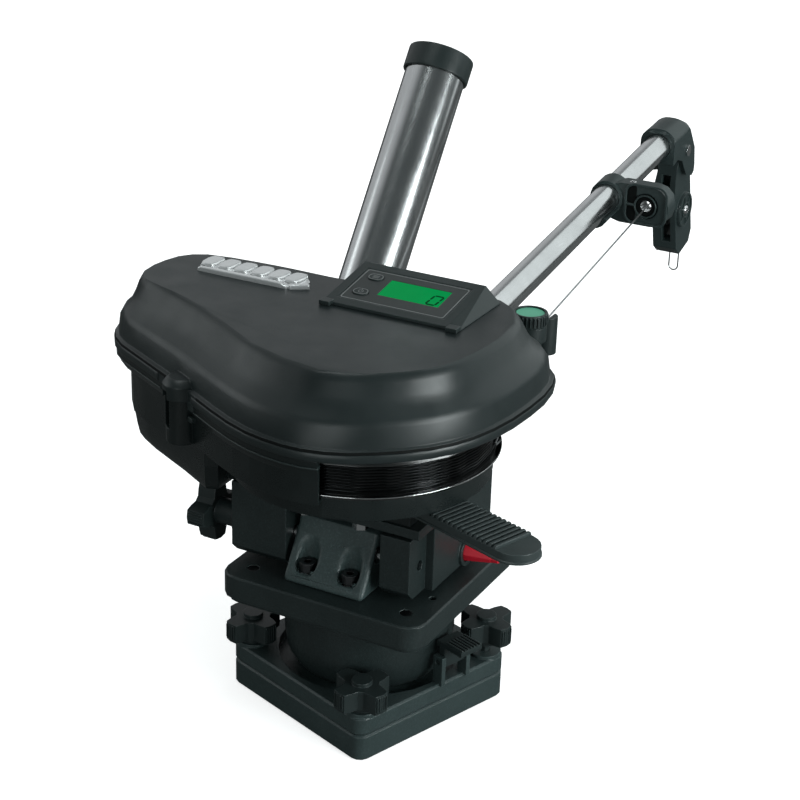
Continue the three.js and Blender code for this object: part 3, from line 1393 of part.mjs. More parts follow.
// Where the line from the fairlead meets the pulley
const meetAngle = (() => {
  const y = bracket.y - wheelAxis[0];
  const z = bracket.eyeZ - wheelAxis[1];
  return Math.atan2(z, y) - Math.acos(lineRide / Math.hypot(y, z));
})();

// The whole run of line off the spool, over the pulley and down to its crimp
function runningLine() {
  const start = leaving(line.tail + seat);
  const eye = [bracket.eyeX, bracket.y, bracket.eyeZ];
  const over = arcOver(meetAngle, 0, 10);
  const [, mouthY, mouthZ] = mix(eye, over[0], drop.mouthShare);
  return tube([
    start, [guide.x, guide.y, guide.z], eye, [head.slotRight - 2 * line.radius, mouthY, mouthZ], ...over,
    [wheelMiddle, wheelAxis[0] + lineRide, drop.loopTop + seat],
  ], line.radius, 6);
}

function wireLoop() {
  const y = wheelAxis[0] + lineRide;
  const half = drop.loopWidth / 2;
  const steps = 8;
  const points = [];
  for (let i = 0; i <= steps; i += 1) {
    const angle = -(i / steps) * Math.PI;
    points.push([wheelMiddle + half * Math.cos(angle), y, drop.loopBottom + half + half * Math.sin(angle)]);
  }
  const low = drop.loopTop - drop.sleeveLength;
  const spread = drop.sleeveRadius / 2;
  const shoulder = low - drop.sleeveLength / 2;
  return join(
    tube([
      [wheelMiddle + spread, y, low + seat], [wheelMiddle + half, y, shoulder], ...points,
      [wheelMiddle - half, y, shoulder], [wheelMiddle - spread, y, low + seat],
    ], drop.wire, 6),
    cylinder(drop.sleeveRadius, low, drop.loopTop, [wheelMiddle, y], coarse),
  );
}

addPiece('running_line', runningLine(), 'cable');
addPiece('wire_loop', wireLoop(), 'brightSteel');

// Rod holder, built along Z and leaned outboard
function leaned(solid) {
  return solid.rotate([(rod.lean * 180) / Math.PI - 90, 0, 0]).translate([rod.x, rod.y, rod.z]);
}

function rodHolderTube() {
  return leaned(cut(
    cylinder(rod.outerRadius, rod.low, rod.high, [0, 0], fine),
    cylinder(rod.innerRadius, rod.low - overrun, rod.high + overrun, [0, 0], fine),
  ));
}

function rodHolderRing() {
  const top = rod.high + rod.ringLip + seat;
  return leaned(cut(
    cylinder(rod.ringOuter, top - rod.ringLength, top, [0, 0], fine),
    cylinder(rod.outerRadius + seat, rod.low, rod.high + seat, [0, 0], fine),
    cylinder(rod.innerRadius, rod.low, top + overrun, [0, 0], fine),
  ));
}

function rodSocket() {
  const cup = leaned(cylinder(rod.cupOuter, rod.cupFloor, rod.cupTop, [0, 0], fine));
  const arm = block([rod.armLeft, rod.armFront, rod.armBottom], [rod.armRight, rod.armBack, rod.armTop]);
  const webLow = block(
    [rod.x - rod.web, rod.armFront + rod.web, rod.armTop - seat],
    [rod.x + rod.web, rod.armBack, rod.armTop + rod.armBack - rod.armFront],
  );
  const bore = leaned(cylinder(rod.outerRadius + seat, rod.low - seat, rod.high + overrun, [0, 0], fine));
  const drain = leaned(cylinder(rod.drainRadius, rod.cupFloor - 2 * overrun, rod.high, [0, 0], coarse));
  const far = rod.armBack;
  const above = leaned(block([-far, -far, rod.cupFloor / 2], [far, far, rod.high]));
  return cut(join(cup, cut(join(arm, webLow), above)), bore, drain);
}

addPiece('rod_holder_socket', rodSocket(), 'blackPlastic');
addPiece('rod_holder_tube', rodHolderTube(), 'steel');
addPiece('rod_holder_ring', rodHolderRing(), 'blackPlastic');

export default part;
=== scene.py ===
"""The downrigger's camera, light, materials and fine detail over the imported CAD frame, in metres, +Z up."""
import json
import math

import bmesh
import bpy
from mathutils import Matrix, Vector


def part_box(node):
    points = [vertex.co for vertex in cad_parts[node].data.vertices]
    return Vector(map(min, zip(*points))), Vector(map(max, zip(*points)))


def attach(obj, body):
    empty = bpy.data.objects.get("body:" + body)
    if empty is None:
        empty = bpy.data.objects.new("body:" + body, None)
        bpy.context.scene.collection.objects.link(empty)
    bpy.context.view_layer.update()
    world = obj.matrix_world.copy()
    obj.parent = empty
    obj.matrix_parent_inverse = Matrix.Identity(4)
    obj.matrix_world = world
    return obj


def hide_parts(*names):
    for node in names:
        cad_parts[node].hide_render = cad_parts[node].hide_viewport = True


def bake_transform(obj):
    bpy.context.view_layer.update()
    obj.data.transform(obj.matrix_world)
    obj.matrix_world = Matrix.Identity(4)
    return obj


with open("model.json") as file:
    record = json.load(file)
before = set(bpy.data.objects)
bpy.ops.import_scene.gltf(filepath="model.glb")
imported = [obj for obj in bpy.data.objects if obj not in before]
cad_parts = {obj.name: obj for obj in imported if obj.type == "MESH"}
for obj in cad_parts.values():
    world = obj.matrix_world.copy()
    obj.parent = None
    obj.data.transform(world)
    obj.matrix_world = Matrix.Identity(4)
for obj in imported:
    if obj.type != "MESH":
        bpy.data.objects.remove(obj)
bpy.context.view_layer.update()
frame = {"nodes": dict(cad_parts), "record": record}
nodes = frame["nodes"]
scene = bpy.context.scene
MM = 0.001
WELD = 0.000004


def mm(*v):
    return Vector([x * MM for x in v])


# Camera, fitted to the photo: its turns, its place in millimetres, its focal length and centre in pixels
SENSOR, IMAGE = 36, 800
AZ, EL, ROLL = math.radians(28.19), math.radians(23.06), math.radians(1.54)
TX, TY, DIST, FOCAL, OFF_U, OFF_V = -11.85, -241.58, 1521.4, 1870.0, -17.75, -11.43
back = Vector((math.sin(AZ) * math.cos(EL), -math.cos(AZ) * math.cos(EL), math.sin(EL)))
flat_right = Vector((math.cos(AZ), math.sin(AZ), 0))
flat_up = back.cross(flat_right)
right = flat_right * math.cos(ROLL) + flat_up * math.sin(ROLL)
up = flat_up * math.cos(ROLL) - flat_right * math.sin(ROLL)
cam = bpy.data.objects.new("camera", bpy.data.cameras.new("camera"))
scene.collection.objects.link(cam)
cam.matrix_world = Matrix.Translation((right * -TX + up * -TY + back * DIST) * MM) @ Matrix(
    (right, up, back)).transposed().to_4x4()
cam.data.sensor_width = SENSOR
cam.data.lens = FOCAL * SENSOR / IMAGE
cam.data.shift_x = -OFF_U / IMAGE
cam.data.shift_y = OFF_V / IMAGE
cam.data.clip_start, cam.data.clip_end = 0.05, 60
scene.camera = cam

scene.view_settings.view_transform = "Standard"


# Node helpers
class Tree:
    """Short names for building a material's nodes."""

    def __init__(self, name):
        self.mat = bpy.data.materials.new(name)
        self.mat.use_nodes = True
        self.nt = self.mat.node_tree
        self.nt.nodes.clear()
        self.out = self.nt.nodes.new("ShaderNodeOutputMaterial")
        self.bsdf = self.nt.nodes.new("ShaderNodeBsdfPrincipled")
        self.link(self.bsdf.outputs[0], self.out.inputs[0])
        self.coord = self.nt.nodes.new("ShaderNodeTexCoord").outputs["Object"]

    def link(self, a, b):
        self.nt.links.new(a, b)

    def put(self, node, key, value):
        if isinstance(value, bpy.types.NodeSocket):
            self.link(value, node.inputs[key])
        else:
            node.inputs[key].default_value = value

    def noise(self, scale, detail=2.0, stretch=None, turn=(0, 0, 0), rough=0.5):
        n = self.nt.nodes.new("ShaderNodeTexNoise")
        n.inputs["Scale"].default_value = scale
        n.inputs["Detail"].default_value = detail
        n.inputs["Roughness"].default_value = rough
        source = self.coord
        if stretch:
            m = self.nt.nodes.new("ShaderNodeMapping")
            m.inputs["Rotation"].default_value = turn
            m.inputs["Scale"].default_value = stretch
            self.link(source, m.inputs["Vector"])
            source = m.outputs[0]
        self.link(source, n.inputs["Vector"])
        return n.outputs["Fac"]

    def ramp(self, fac, low, high, a=0.0, b=1.0):
        r = self.nt.nodes.new("ShaderNodeMapRange")
        self.put(r, "Value", fac)
        for key, value in (("From Min", low), ("From Max", high), ("To Min", a), ("To Max", b)):
            r.inputs[key].default_value = value
        return r.outputs[0]

    def mix(self, fac, a, b):
        m = self.nt.nodes.new("ShaderNodeMix")
        m.data_type = "RGBA"
        self.put(m, 0, fac)
        self.put(m, 6, a if isinstance(a, bpy.types.NodeSocket) else (*a, 1))
        self.put(m, 7, b if isinstance(b, bpy.types.NodeSocket) else (*b, 1))
        return m.outputs[2]

    def math(self, op, a, b=0.0):
        m = self.nt.nodes.new("ShaderNodeMath")
        m.operation = op
        self.put(m, 0, a)
        self.put(m, 1, b)
        return m.outputs[0]

    def rounded(self, radius):
        """A normal with softened edges, and a mask that is 1 along them."""
        bevel = self.nt.nodes.new("ShaderNodeBevel")
        bevel.samples = 6
        bevel.inputs["Radius"].default_value = radius
        geo = self.nt.nodes.new("ShaderNodeNewGeometry")
        dot = self.nt.nodes.new("ShaderNodeVectorMath")
        dot.operation = "DOT_PRODUCT"
        self.link(bevel.outputs[0], dot.inputs[0])
        self.link(geo.outputs["Normal"], dot.inputs[1])
        return bevel.outputs[0], self.ramp(dot.outputs["Value"], 0.995, 0.8)

    def bump(self, height, strength, distance, normal=None):
        b = self.nt.nodes.new("ShaderNodeBump")
        b.inputs["Strength"].default_value = strength
        b.inputs["Distance"].default_value = distance
        self.link(height, b.inputs["Height"])
        if normal is not None:
            self.link(normal, b.inputs["Normal"])
        return b.outputs[0]


def darker(c, k):
    return tuple(x * k for x in c)


def plastic(name, color, rough, grain, depth, edge, edge_wear_and_highlight, coat=0.0, specular=0.5, speckle=0.0):
    """Moulded plastic: fine spark-eroded grain, faint blotches, edges rubbed smoother and lighter, the
    lightening partly a painted highlight.
    """
    t = Tree(name)
    blotch = t.noise(38, 4)
    fine = t.noise(grain, 2, rough=0.6)
    dust = t.noise(420, 6, rough=0.7)
    normal, edges = t.rounded(edge)
    base = t.mix(blotch, darker(color, 0.86), darker(color, 1.16))
    base = t.mix(t.ramp(dust, 0.62, 0.8, 0, 0.2), base, darker(color, 1.8))
    if speckle:
        base = t.mix(t.ramp(t.noise(640, 3, rough=0.75), 0.5, 0.72, 0, speckle), base, darker(color, 3.2))
    # Lighter edges: partly rubbed, partly a painted highlight along them
    worn_and_highlit = t.math("MULTIPLY", edges, t.ramp(dust, 0.3, 0.6, 0.3, 0.9))
    base = t.mix(worn_and_highlit, base, darker(color, edge_wear_and_highlight))
    t.link(base, t.bsdf.inputs["Base Color"])
    r = t.ramp(t.math("ADD", fine, blotch), 0.7, 1.3, rough - 0.07, rough + 0.07)
    t.link(t.math("SUBTRACT", r, t.math("MULTIPLY", edges, 0.08)), t.bsdf.inputs["Roughness"])
    t.bsdf.inputs["Specular IOR Level"].default_value = specular
    if coat:
        t.bsdf.inputs["Coat Weight"].default_value = coat
        t.bsdf.inputs["Coat Roughness"].default_value = 0.25
    t.link(t.bump(fine, 0.5, depth, normal), t.bsdf.inputs["Normal"])
    return t.mat


def metal(name, color, rough, stretch, turn=(0, 0, 0), depth=0.00002, edge=0.0004, tarnish=0.75,
          metallic=1.0, grain=0.35):
    """Bare metal with drawn or machined lines, faint tarnish and brighter edges."""
    t = Tree(name)
    lines = t.noise(1.0, 3, stretch, turn, 0.65)
    cloud = t.noise(30, 5, rough=0.6)
    normal, edges = t.rounded(edge)
    base = t.mix(t.ramp(cloud, 0.35, 0.75), color, darker(color, tarnish))
    base = t.mix(t.ramp(lines, 0.3, 0.7), base, darker(color, 0.9))
    base = t.mix(t.math("MULTIPLY", edges, 0.5), base, tuple(min(1, x * 1.15) for x in color))
    t.link(base, t.bsdf.inputs["Base Color"])
    t.bsdf.inputs["Metallic"].default_value = metallic
    uneven = t.math("ADD", lines, cloud)
    t.link(t.ramp(uneven, 0.6, 1.4, rough * 0.75, rough * 1.35), t.bsdf.inputs["Roughness"])
    t.link(t.bump(lines, grain, depth, normal), t.bsdf.inputs["Normal"])
    return t.mat


# Materials. A plastic's numbers are its roughness, grain scale, grain depth, edge radius and edge lightening,
# which is partly rubbing and partly a painted edge highlight
CHARCOAL = (0.0165, 0.0235, 0.024)
BLACK = (0.0125, 0.019, 0.019)
mats = {
    "darkPlastic": plastic("dark_plastic", BLACK, 0.4, 1150, 0.0004, 0.0011, 3.0, specular=0.42, speckle=0.3),
    # Painted light: the base and knuckle take lighter copies of the black plastic, standing in for light the
    # lamps don't bring to them
    "basePaintedLight": plastic("base_plastic_painted_light", darker(BLACK, 2.1), 0.4, 1150, 0.0004, 0.0011, 2.2, specular=0.42,
                           speckle=0.25),
    "knucklePaintedLight": plastic("knuckle_plastic_painted_light", darker(BLACK, 2.8), 0.4, 1150, 0.0004, 0.0011, 2.0,
                              specular=0.42, speckle=0.35),
    # Painted shade: the tub takes a darker copy of the black plastic for the shade under the cover; its lower
    # roughness is its glossier finish
    "tubPaintedShade": plastic("tub_plastic_painted_shade", darker(BLACK, 0.55), 0.3, 1700, 0.0001, 0.0009, 3.0, specular=0.4),
    "headPlastic": plastic("head_plastic", darker(BLACK, 1.7), 0.4, 1700, 0.0001, 0.0009, 2.0, specular=0.4),
    # Painted light: the lever takes a lighter copy of the black plastic
    "leverPaintedLight": plastic("lever_plastic_painted_light", (0.029, 0.039, 0.039), 0.38, 1700, 0.0001, 0.0007, 2.8,
                            specular=0.45),
    "coverPlastic": plastic("cover_plastic", darker(CHARCOAL, 0.76), 0.36, 3200, 0.00004, 0.0012, 1.25,
                            specular=0.4),
    "blackPlastic": plastic("black_plastic", (0.014, 0.021, 0.021), 0.4, 1700, 0.0001, 0.0009, 2.4,
                            specular=0.4),
    "spoolPlastic": plastic("spool_plastic", (0.008, 0.009, 0.009), 0.16, 1500, 0.00001, 0.0006, 1.6,
                            coat=0.6),
    # Painted shade: near-black for the bracket's pocket floors and the groove under the cover's rim
    "pocket": plastic("painted_shade_dark", (0.0025, 0.0035, 0.0035), 0.6, 1700, 0.00008, 0.0003, 1.3,
                      specular=0.1),
    "friction": plastic("friction_disc", (0.035, 0.03, 0.026), 0.85, 1200, 0.0001, 0.0004, 1.2),
    "gearPlastic": plastic("gear_plastic", (0.62, 0.6, 0.54), 0.4, 1600, 0.00003, 0.0004, 1.05),
    "panel": plastic("panel_plastic", (0.026, 0.031, 0.031), 0.5, 3600, 0.00002, 0.0005, 1.4),
    "board": plastic("board_lacquer", (0.012, 0.12, 0.045), 0.35, 900, 0.00002, 0.0003, 1.2),
    "mint": plastic("mint_plastic", (0.09, 0.43, 0.27), 0.34, 2200, 0.00002, 0.0008, 1.15, coat=0.2),
    "red": plastic("red_plastic", (0.46, 0.012, 0.026), 0.42, 2200, 0.00003, 0.0007, 1.2, specular=0.22),
    "steel": metal("drawn_steel", (0.74, 0.745, 0.75), 0.19, (900, 7, 900), (-0.148, 0, 0), grain=0.1),
    "rodSteel": metal("drawn_steel_rod", (0.7, 0.71, 0.715), 0.2, (700, 700, 6),
                      (-math.atan2(0.572, 0.8205), 0, 0), grain=0.1),
    "brightSteel": metal("bright_steel", (0.74, 0.745, 0.75), 0.14, (1200, 1200, 1200)),
    # Blackened steel; on the knuckle bolts it is painted shade
    "blackSteel": metal("blackened_steel_and_painted_shade", (0.1, 0.104, 0.108), 0.3, (1600, 1600, 1600), tarnish=0.6),
    "woundCable": metal("wound_cable", (0.028, 0.03, 0.031), 0.2, (2600, 2600, 900), depth=0.00008),
    "cable": metal("cable_steel", (0.4, 0.405, 0.41), 0.4, (2600, 2600, 900), depth=0.00008),
    "brass": metal("machined_brass", (0.7, 0.5, 0.2), 0.24, (900, 900, 200)),
    "plate": metal("satin_chrome", (0.88, 0.885, 0.89), 0.16, (260, 260, 260), depth=0.00004, edge=0.0007,
                   tarnish=0.9, metallic=0.65),
    "chrome": metal("cast_chrome", (0.8, 0.805, 0.81), 0.1, (260, 260, 260), depth=0.00004, edge=0.0007,
                    tarnish=0.82),
}


def glow(name, color, strength):
    """The lit display: an uneven back light, faint cells and a glassy face."""
    t = Tree(name)
    sweep = t.noise(26, 2)
    cells = t.noise(1400, 1)
    lit = t.mix(sweep, darker(color, 0.82), darker(color, 1.12))
    lit = t.mix(t.ramp(cells, 0.4, 0.6, 0, 0.12), lit, darker(color, 0.7))
    t.link(lit, t.bsdf.inputs["Emission Color"])
    t.bsdf.inputs["Emission Strength"].default_value = strength
    t.bsdf.inputs["Base Color"].default_value = (*darker(color, 0.04), 1)
    t.bsdf.inputs["Specular IOR Level"].default_value = 0.03
    t.link(t.ramp(cells, 0.3, 0.7, 0.1, 0.2), t.bsdf.inputs["Roughness"])
    return t.mat


mats["glowGreen"] = glow("display_glow", (0.0, 0.28, 0.065), 0.95)
mats["digit"] = glow("digit_ink", (0.0, 0.085, 0.025), 0.5)
# Pale print for the button marks, also used for the panel's painted edge highlight
mats["print"] = plastic("pale_print_and_painted_highlight", (0.19, 0.2, 0.2), 0.5, 1800, 0.00001, 0.0001, 1.0)


# Shading of the CAD nodes
def smooth_by_angle(angle):
    g = bpy.data.node_groups.new("smooth_by_angle", "GeometryNodeTree")
    g.interface.new_socket("Geometry", in_out="INPUT", socket_type="NodeSocketGeometry")
    g.interface.new_socket("Geometry", in_out="OUTPUT", socket_type="NodeSocketGeometry")
    inp, out = g.nodes.new("NodeGroupInput"), g.nodes.new("NodeGroupOutput")
    faces, edges = (g.nodes.new("GeometryNodeSetShadeSmooth") for _ in range(2))
    faces.domain, edges.domain = "FACE", "EDGE"
    faces.inputs["Shade Smooth"].default_value = True
    edges.inputs["Shade Smooth"].default_value = False
    bend = g.nodes.new("GeometryNodeInputMeshEdgeAngle")
    over = g.nodes.new("FunctionNodeCompare")
    over.data_type, over.operation = "FLOAT", "GREATER_THAN"
    over.inputs[1].default_value = angle
    g.links.new(bend.outputs[0], over.inputs[0])
    weld = g.nodes.new("GeometryNodeMergeByDistance")
    weld.inputs["Distance"].default_value = WELD
    g.links.new(inp.outputs[0], weld.inputs["Geometry"])
    g.links.new(weld.outputs[0], faces.inputs["Geometry"])
    g.links.new(faces.outputs[0], edges.inputs["Geometry"])
    g.links.new(over.outputs[0], edges.inputs["Selection"])
    g.links.new(edges.outputs[0], out.inputs[0])
    return g


SMOOTH = smooth_by_angle(math.radians(34))


def shade(obj):
    m = obj.modifiers.new("smooth", "NODES")
    m.node_group = SMOOTH
    w = obj.modifiers.new("weighted", "WEIGHTED_NORMAL")
    w.keep_sharp = True
    w.weight = 80


slot_of = {s["node"]: s["material_slot"] for s in frame["record"]["subparts"]}
# Painted shade: the silver knuckle bolts take the blackened steel for the shade in their deep counterbores
special = {"rod_holder_tube": "rodSteel", "wound_line": "woundCable", "knuckle_bolt_left": "blackSteel",
           "knuckle_bolt_right": "blackSteel", "clutch_lever": "leverPaintedLight",
           "mounting_plate": "basePaintedLight", "swivel_base": "basePaintedLight", "tilt_knuckle": "knucklePaintedLight",
           "housing_tub": "tubPaintedShade", "pulley_head": "headPlastic", "nose_cap": "headPlastic",
           "boom_bracket": "headPlastic", "nose_screw": "brightSteel"}
# Moulded edges that are rounder than the CAD's, in millimetres
soft_edges = {"tilt_knuckle": 3.2, "pulley_head": 2.2, "swivel_base": 1.2, "mounting_plate": 1.6,
              "boom_bracket": 1.5, "nose_cap": 0.7, "tilt_frame": 1.2, "display_bezel": 1.0,
              "clutch_lever": 0.5,
              "base_knob_front": 1.0, "base_knob_right": 1.0, "base_knob_rear": 1.0, "base_knob_left": 1.0,
              "tilt_knob": 1.0, "boom_socket": 1.2, "rod_holder_ring": 1.0, "tilt_lock_plunger": 1.5}


def soften(obj, width):
    """Real rounded edges for a moulded piece."""
    weld = obj.modifiers.new("weld", "WELD")
    weld.merge_threshold = WELD
    edge = obj.modifiers.new("soft_edges", "BEVEL")
    edge.width = width * MM
    edge.segments = 3
    edge.limit_method = "ANGLE"
    edge.angle_limit = math.radians(42)
    edge.use_clamp_overlap = obj.name != "tilt_knuckle"


for name, obj in nodes.items():
    look = mats[special.get(name, slot_of[name])]
    obj.data.materials.clear()
    obj.data.materials.append(look)
    if name in soft_edges:
        soften(obj, soft_edges[name])
    shade(obj)


# Piece helpers
def as_mesh(name, bm):
    """A mesh from the built faces, all turned outward."""
    bmesh.ops.recalc_face_normals(bm, faces=bm.faces)
    mesh = bpy.data.meshes.new(name)
    bm.to_mesh(mesh)
    bm.free()
    return mesh


def finish_mesh(name, bm, look, body, bevel=0.0, segments=2, smooth=True):
    mesh = as_mesh(name, bm)
    obj = bpy.data.objects.new(name, mesh)
    scene.collection.objects.link(obj)
    mesh.materials.append(mats[look])
    if bevel:
        b = obj.modifiers.new("bevel", "BEVEL")
        b.width, b.segments, b.limit_method = bevel, segments, "ANGLE"
        b.angle_limit = math.radians(35)
    if smooth:
        shade(obj)
    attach(obj, body)


def middle_of(node):
    low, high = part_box(node)
    return (low + high) / 2


def basis(origin, x, y):
    """A placing matrix from an origin and two directions."""
    x = Vector(x).normalized()
    z = x.cross(Vector(y)).normalized()
    y = z.cross(x)
    m = Matrix((x, y, z)).transposed().to_4x4()
    return Matrix.Translation(origin) @ m


def circle(x, y, radius, steps=40):
    return [(x + radius * math.cos(2 * math.pi * i / steps), y + radius * math.sin(2 * math.pi * i / steps))
            for i in range(steps)]


def oval(length, width, steps=36):
    """A slot outline: straight sides with round ends."""
    r, half = width / 2, (length - width) / 2
    pts = []
    for i in range(steps):
        a = 2 * math.pi * i / steps
        pts.append((r * math.cos(a) + (half if math.cos(a) >= 0 else -half), r * math.sin(a)))
    return pts


def rounded_box(left, right, bottom, top, radius, steps=5):
    """A rounded rectangle outline."""
    pts = []
    for x, y, first in ((right - radius, top - radius, 0), (left + radius, top - radius, 1),
                        (left + radius, bottom + radius, 2), (right - radius, bottom + radius, 3)):
        for i in range(steps + 1):
            a = (first + i / steps) * math.pi / 2
            pts.append((x + radius * math.cos(a), y + radius * math.sin(a)))
    return pts


def skin(bm, a, b, closed=True):
    """Four-sided faces between two rows of vertices."""
    n = len(a)
    for i in range(n if closed else n - 1):
        j = (i + 1) % n
        bm.faces.new((a[i], a[j], b[j], b[i]))


def slab(bm, outline, low, high, place, inset=0.0):
    """A closed slab from a flat outline in the placing matrix's frame, its top drawn in by a share."""
    n = len(outline)
    cx, cy = sum(p[0] for p in outline) / n, sum(p[1] for p in outline) / n
    rings = []
    for z, k in ((low, 1), (high, 1 - inset)):
        rings.append([bm.verts.new(place @ Vector((cx + (p[0] - cx) * k, cy + (p[1] - cy) * k, z)))
                      for p in outline])
    bm.faces.new(rings[0][::-1])
    bm.faces.new(rings[1])
    skin(bm, *rings)


def lathe(bm, profile, place, steps):
    """Turns (radius, height) points about the frame's Z; ends on the axis are closed."""
    rings = []
    for r, z in profile:
        points = circle(0, 0, r, steps) if r > 0 else [(0, 0)]
        rings.append([bm.verts.new(place @ Vector((*p, z))) for p in points])
    for a, b in zip(rings, rings[1:]):
        if len(a) == len(b):
            skin(bm, a, b)
            continue
        for i in range(steps):
            j = (i + 1) % steps
            bm.faces.new((a[0], b[j], b[i]) if len(a) == 1 else (a[i], a[j], b[0]))


def ring_band(bm, outer, inner, low, high, place):
    """A flat closed band between two outlines of equal count."""
    loops = [[bm.verts.new(place @ Vector((p[0], p[1], z))) for p in o] for o, z in
             ((outer, low), (outer, high), (inner, high), (inner, low))]
    for a, b in zip(loops, loops[1:] + loops[:1]):
        skin(bm, a, b)


def bar_piece(bm, place, length, width, height, sink=0.0002, inset=0.16):
    """A low rib with sloping sides, its length along the placing frame's Y."""
    x, y = width / 2, length / 2
    slab(bm, [(-x, -y), (x, -y), (x, y), (-x, y)], -sink, height, place, inset)


# Name plate: blank pads over a strip, a bar and its tail. Outlines are in millimetres
PAD = [(-5.2, -7.6), (0, -8.2), (5.0, -7.7), (7.0, -4.6), (7.4, 0), (6.9, 4.8), (4.9, 7.5), (0, 8.1),
       (-5.0, 7.5), (-6.9, 4.7), (-7.4, 0), (-7.1, -4.7)]
BAR = [(-42, -15.5), (-24, -16.2), (38, -16.4), (41, -14.5), (40, -11.6), (-39, -11.4), (-43, -13)]
TAIL = [(39, -12.5), (43, -15.5), (56, -7.5), (54, -3.5), (51, -4)]
STRIP = [(-46, -6), (-43, -8.5), (44, -8.5), (50, -5), (49, 6), (43, 12), (-38, 13), (-45, 9)]
# A pillow's rings: a share of its height, and a share of the way to its middle
PILLOW = ((-0.6, 0.0), (0.55, 0.0), (0.8, 0.05), (0.94, 0.14), (1.0, 0.3))
PAD_PITCH, PAD_COUNT, PAD_START, PAD_STRETCH, PAD_SHIFT = 15.4, 6, -38.5, 1.35, 2.6
PLATE_AT = mm(-133, 37, 318)


def pillow(bm, outline, height, place):
    """A rounded pad over a flat outline."""
    n = len(outline)
    mid = Vector((sum(p[0] for p in outline) / n, sum(p[1] for p in outline) / n))
    loops = []
    for rise, inward in PILLOW:
        loops.append([bm.verts.new(place @ Vector((*Vector(p).lerp(mid, inward), height * rise)))
                      for p in outline])
    for a, b in zip(loops, loops[1:]):
        skin(bm, a, b)
    bm.faces.new(loops[0][::-1])
    bm.faces.new(loops[-1])


def plate_pieces():
    place = basis(PLATE_AT, (1, 0.02, 0), (0, 1, 0))
    bm = bmesh.new()
    for outline, height in ((STRIP, 0.002), (BAR, 0.0038), (TAIL, 0.0034)):
        pillow(bm, [(x * MM, y * MM) for x, y in outline], height, place)
    for i in range(PAD_COUNT):
        x = PAD_START + PAD_PITCH * i
        pillow(bm, [((x + a) * MM, (b * PAD_STRETCH + PAD_SHIFT) * MM) for a, b in PAD], 0.0046, place)
    finish_mesh("name_plate_blank", bm, "plate", "frame", 0.0003)


plate_pieces()


# Display: print, a painted highlight along the panel's edge, digit and seams
SLOPE = math.radians(10.2)
PRINT = 0.00015
DIGIT_WIDTH, DIGIT_HEIGHT, DIGIT_STROKE, DIGIT_SLANT = 0.0078, 0.0135, 0.0016, 0.12
DIGIT_RIGHT, DIGIT_BOTTOM = 0.004, 0.0022
face_x = Vector((1, 0, 0))
face_y = Vector((0, math.cos(SLOPE), math.sin(SLOPE)))


def on_face(node):
    """A placing matrix at a sloped top's back left corner, x right and y up it, and the top's size."""
    low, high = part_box(node)
    place = basis(Vector((low.x, high.y, high.z)), face_x, face_y)
    return place, high.x - low.x, (high.y - low.y) / math.cos(SLOPE)


def segment_digit():
    place, width, depth = on_face("display_screen")
    bm = bmesh.new()
    w, h, t = DIGIT_WIDTH, DIGIT_HEIGHT, DIGIT_STROKE
    x0, y0 = width - DIGIT_RIGHT - w, -depth + DIGIT_BOTTOM

    def bar(a, b, along):
        if along == "x":
            pts = ((a + t * 0.15, b), (a + t * 0.6, b + t / 2), (a + w - t * 0.6, b + t / 2),
                   (a + w - t * 0.15, b),
                   (a + w - t * 0.6, b - t / 2), (a + t * 0.6, b - t / 2))
        else:
            k = h / 2
            pts = ((a, b + t * 0.2), (a + t / 2, b + t * 0.7), (a + t / 2, b + k - t * 0.7),
                   (a, b + k - t * 0.2),
                   (a - t / 2, b + k - t * 0.7), (a - t / 2, b + t * 0.7))
        slab(bm, [(x + DIGIT_SLANT * (y - y0), y) for x, y in pts], 0.00002, 0.00022, place)

    bar(x0, y0, "x")
    bar(x0, y0 + h, "x")
    for x in (x0, x0 + w):
        bar(x, y0, "y")
        bar(x, y0 + h / 2, "y")
    finish_mesh("display_digit", bm, "digit", "frame", smooth=False)
    bm = bmesh.new()
    outer, inner = ([(-e, e), (width + e, e), (width + e, -depth - e), (-e, -depth - e)]
                    for e in (0.0006, 0.0))
    ring_band(bm, outer, inner, -0.0002, 0.0004, place)
    finish_mesh("display_gasket", bm, "panel", "frame", 0.0002)


# A pale ring just inside the display panel's edge: a painted highlight along that edge
def panel_edge_highlight():
    place, width, depth = on_face("display_panel")
    bm = bmesh.new()

    def rect(e):
        c = 0.0012
        a, b, p, q = e, width - e, -depth + e, -e
        return [(a + c, p), (b - c, p), (b, p + c), (b, q - c), (b - c, q), (a + c, q), (a, q - c),
                (a, p + c)]

    ring_band(bm, rect(0.0012), rect(0.0019), 0.00001, 0.00016, place)
    finish_mesh("panel_painted_highlight", bm, "print", "frame", smooth=False)


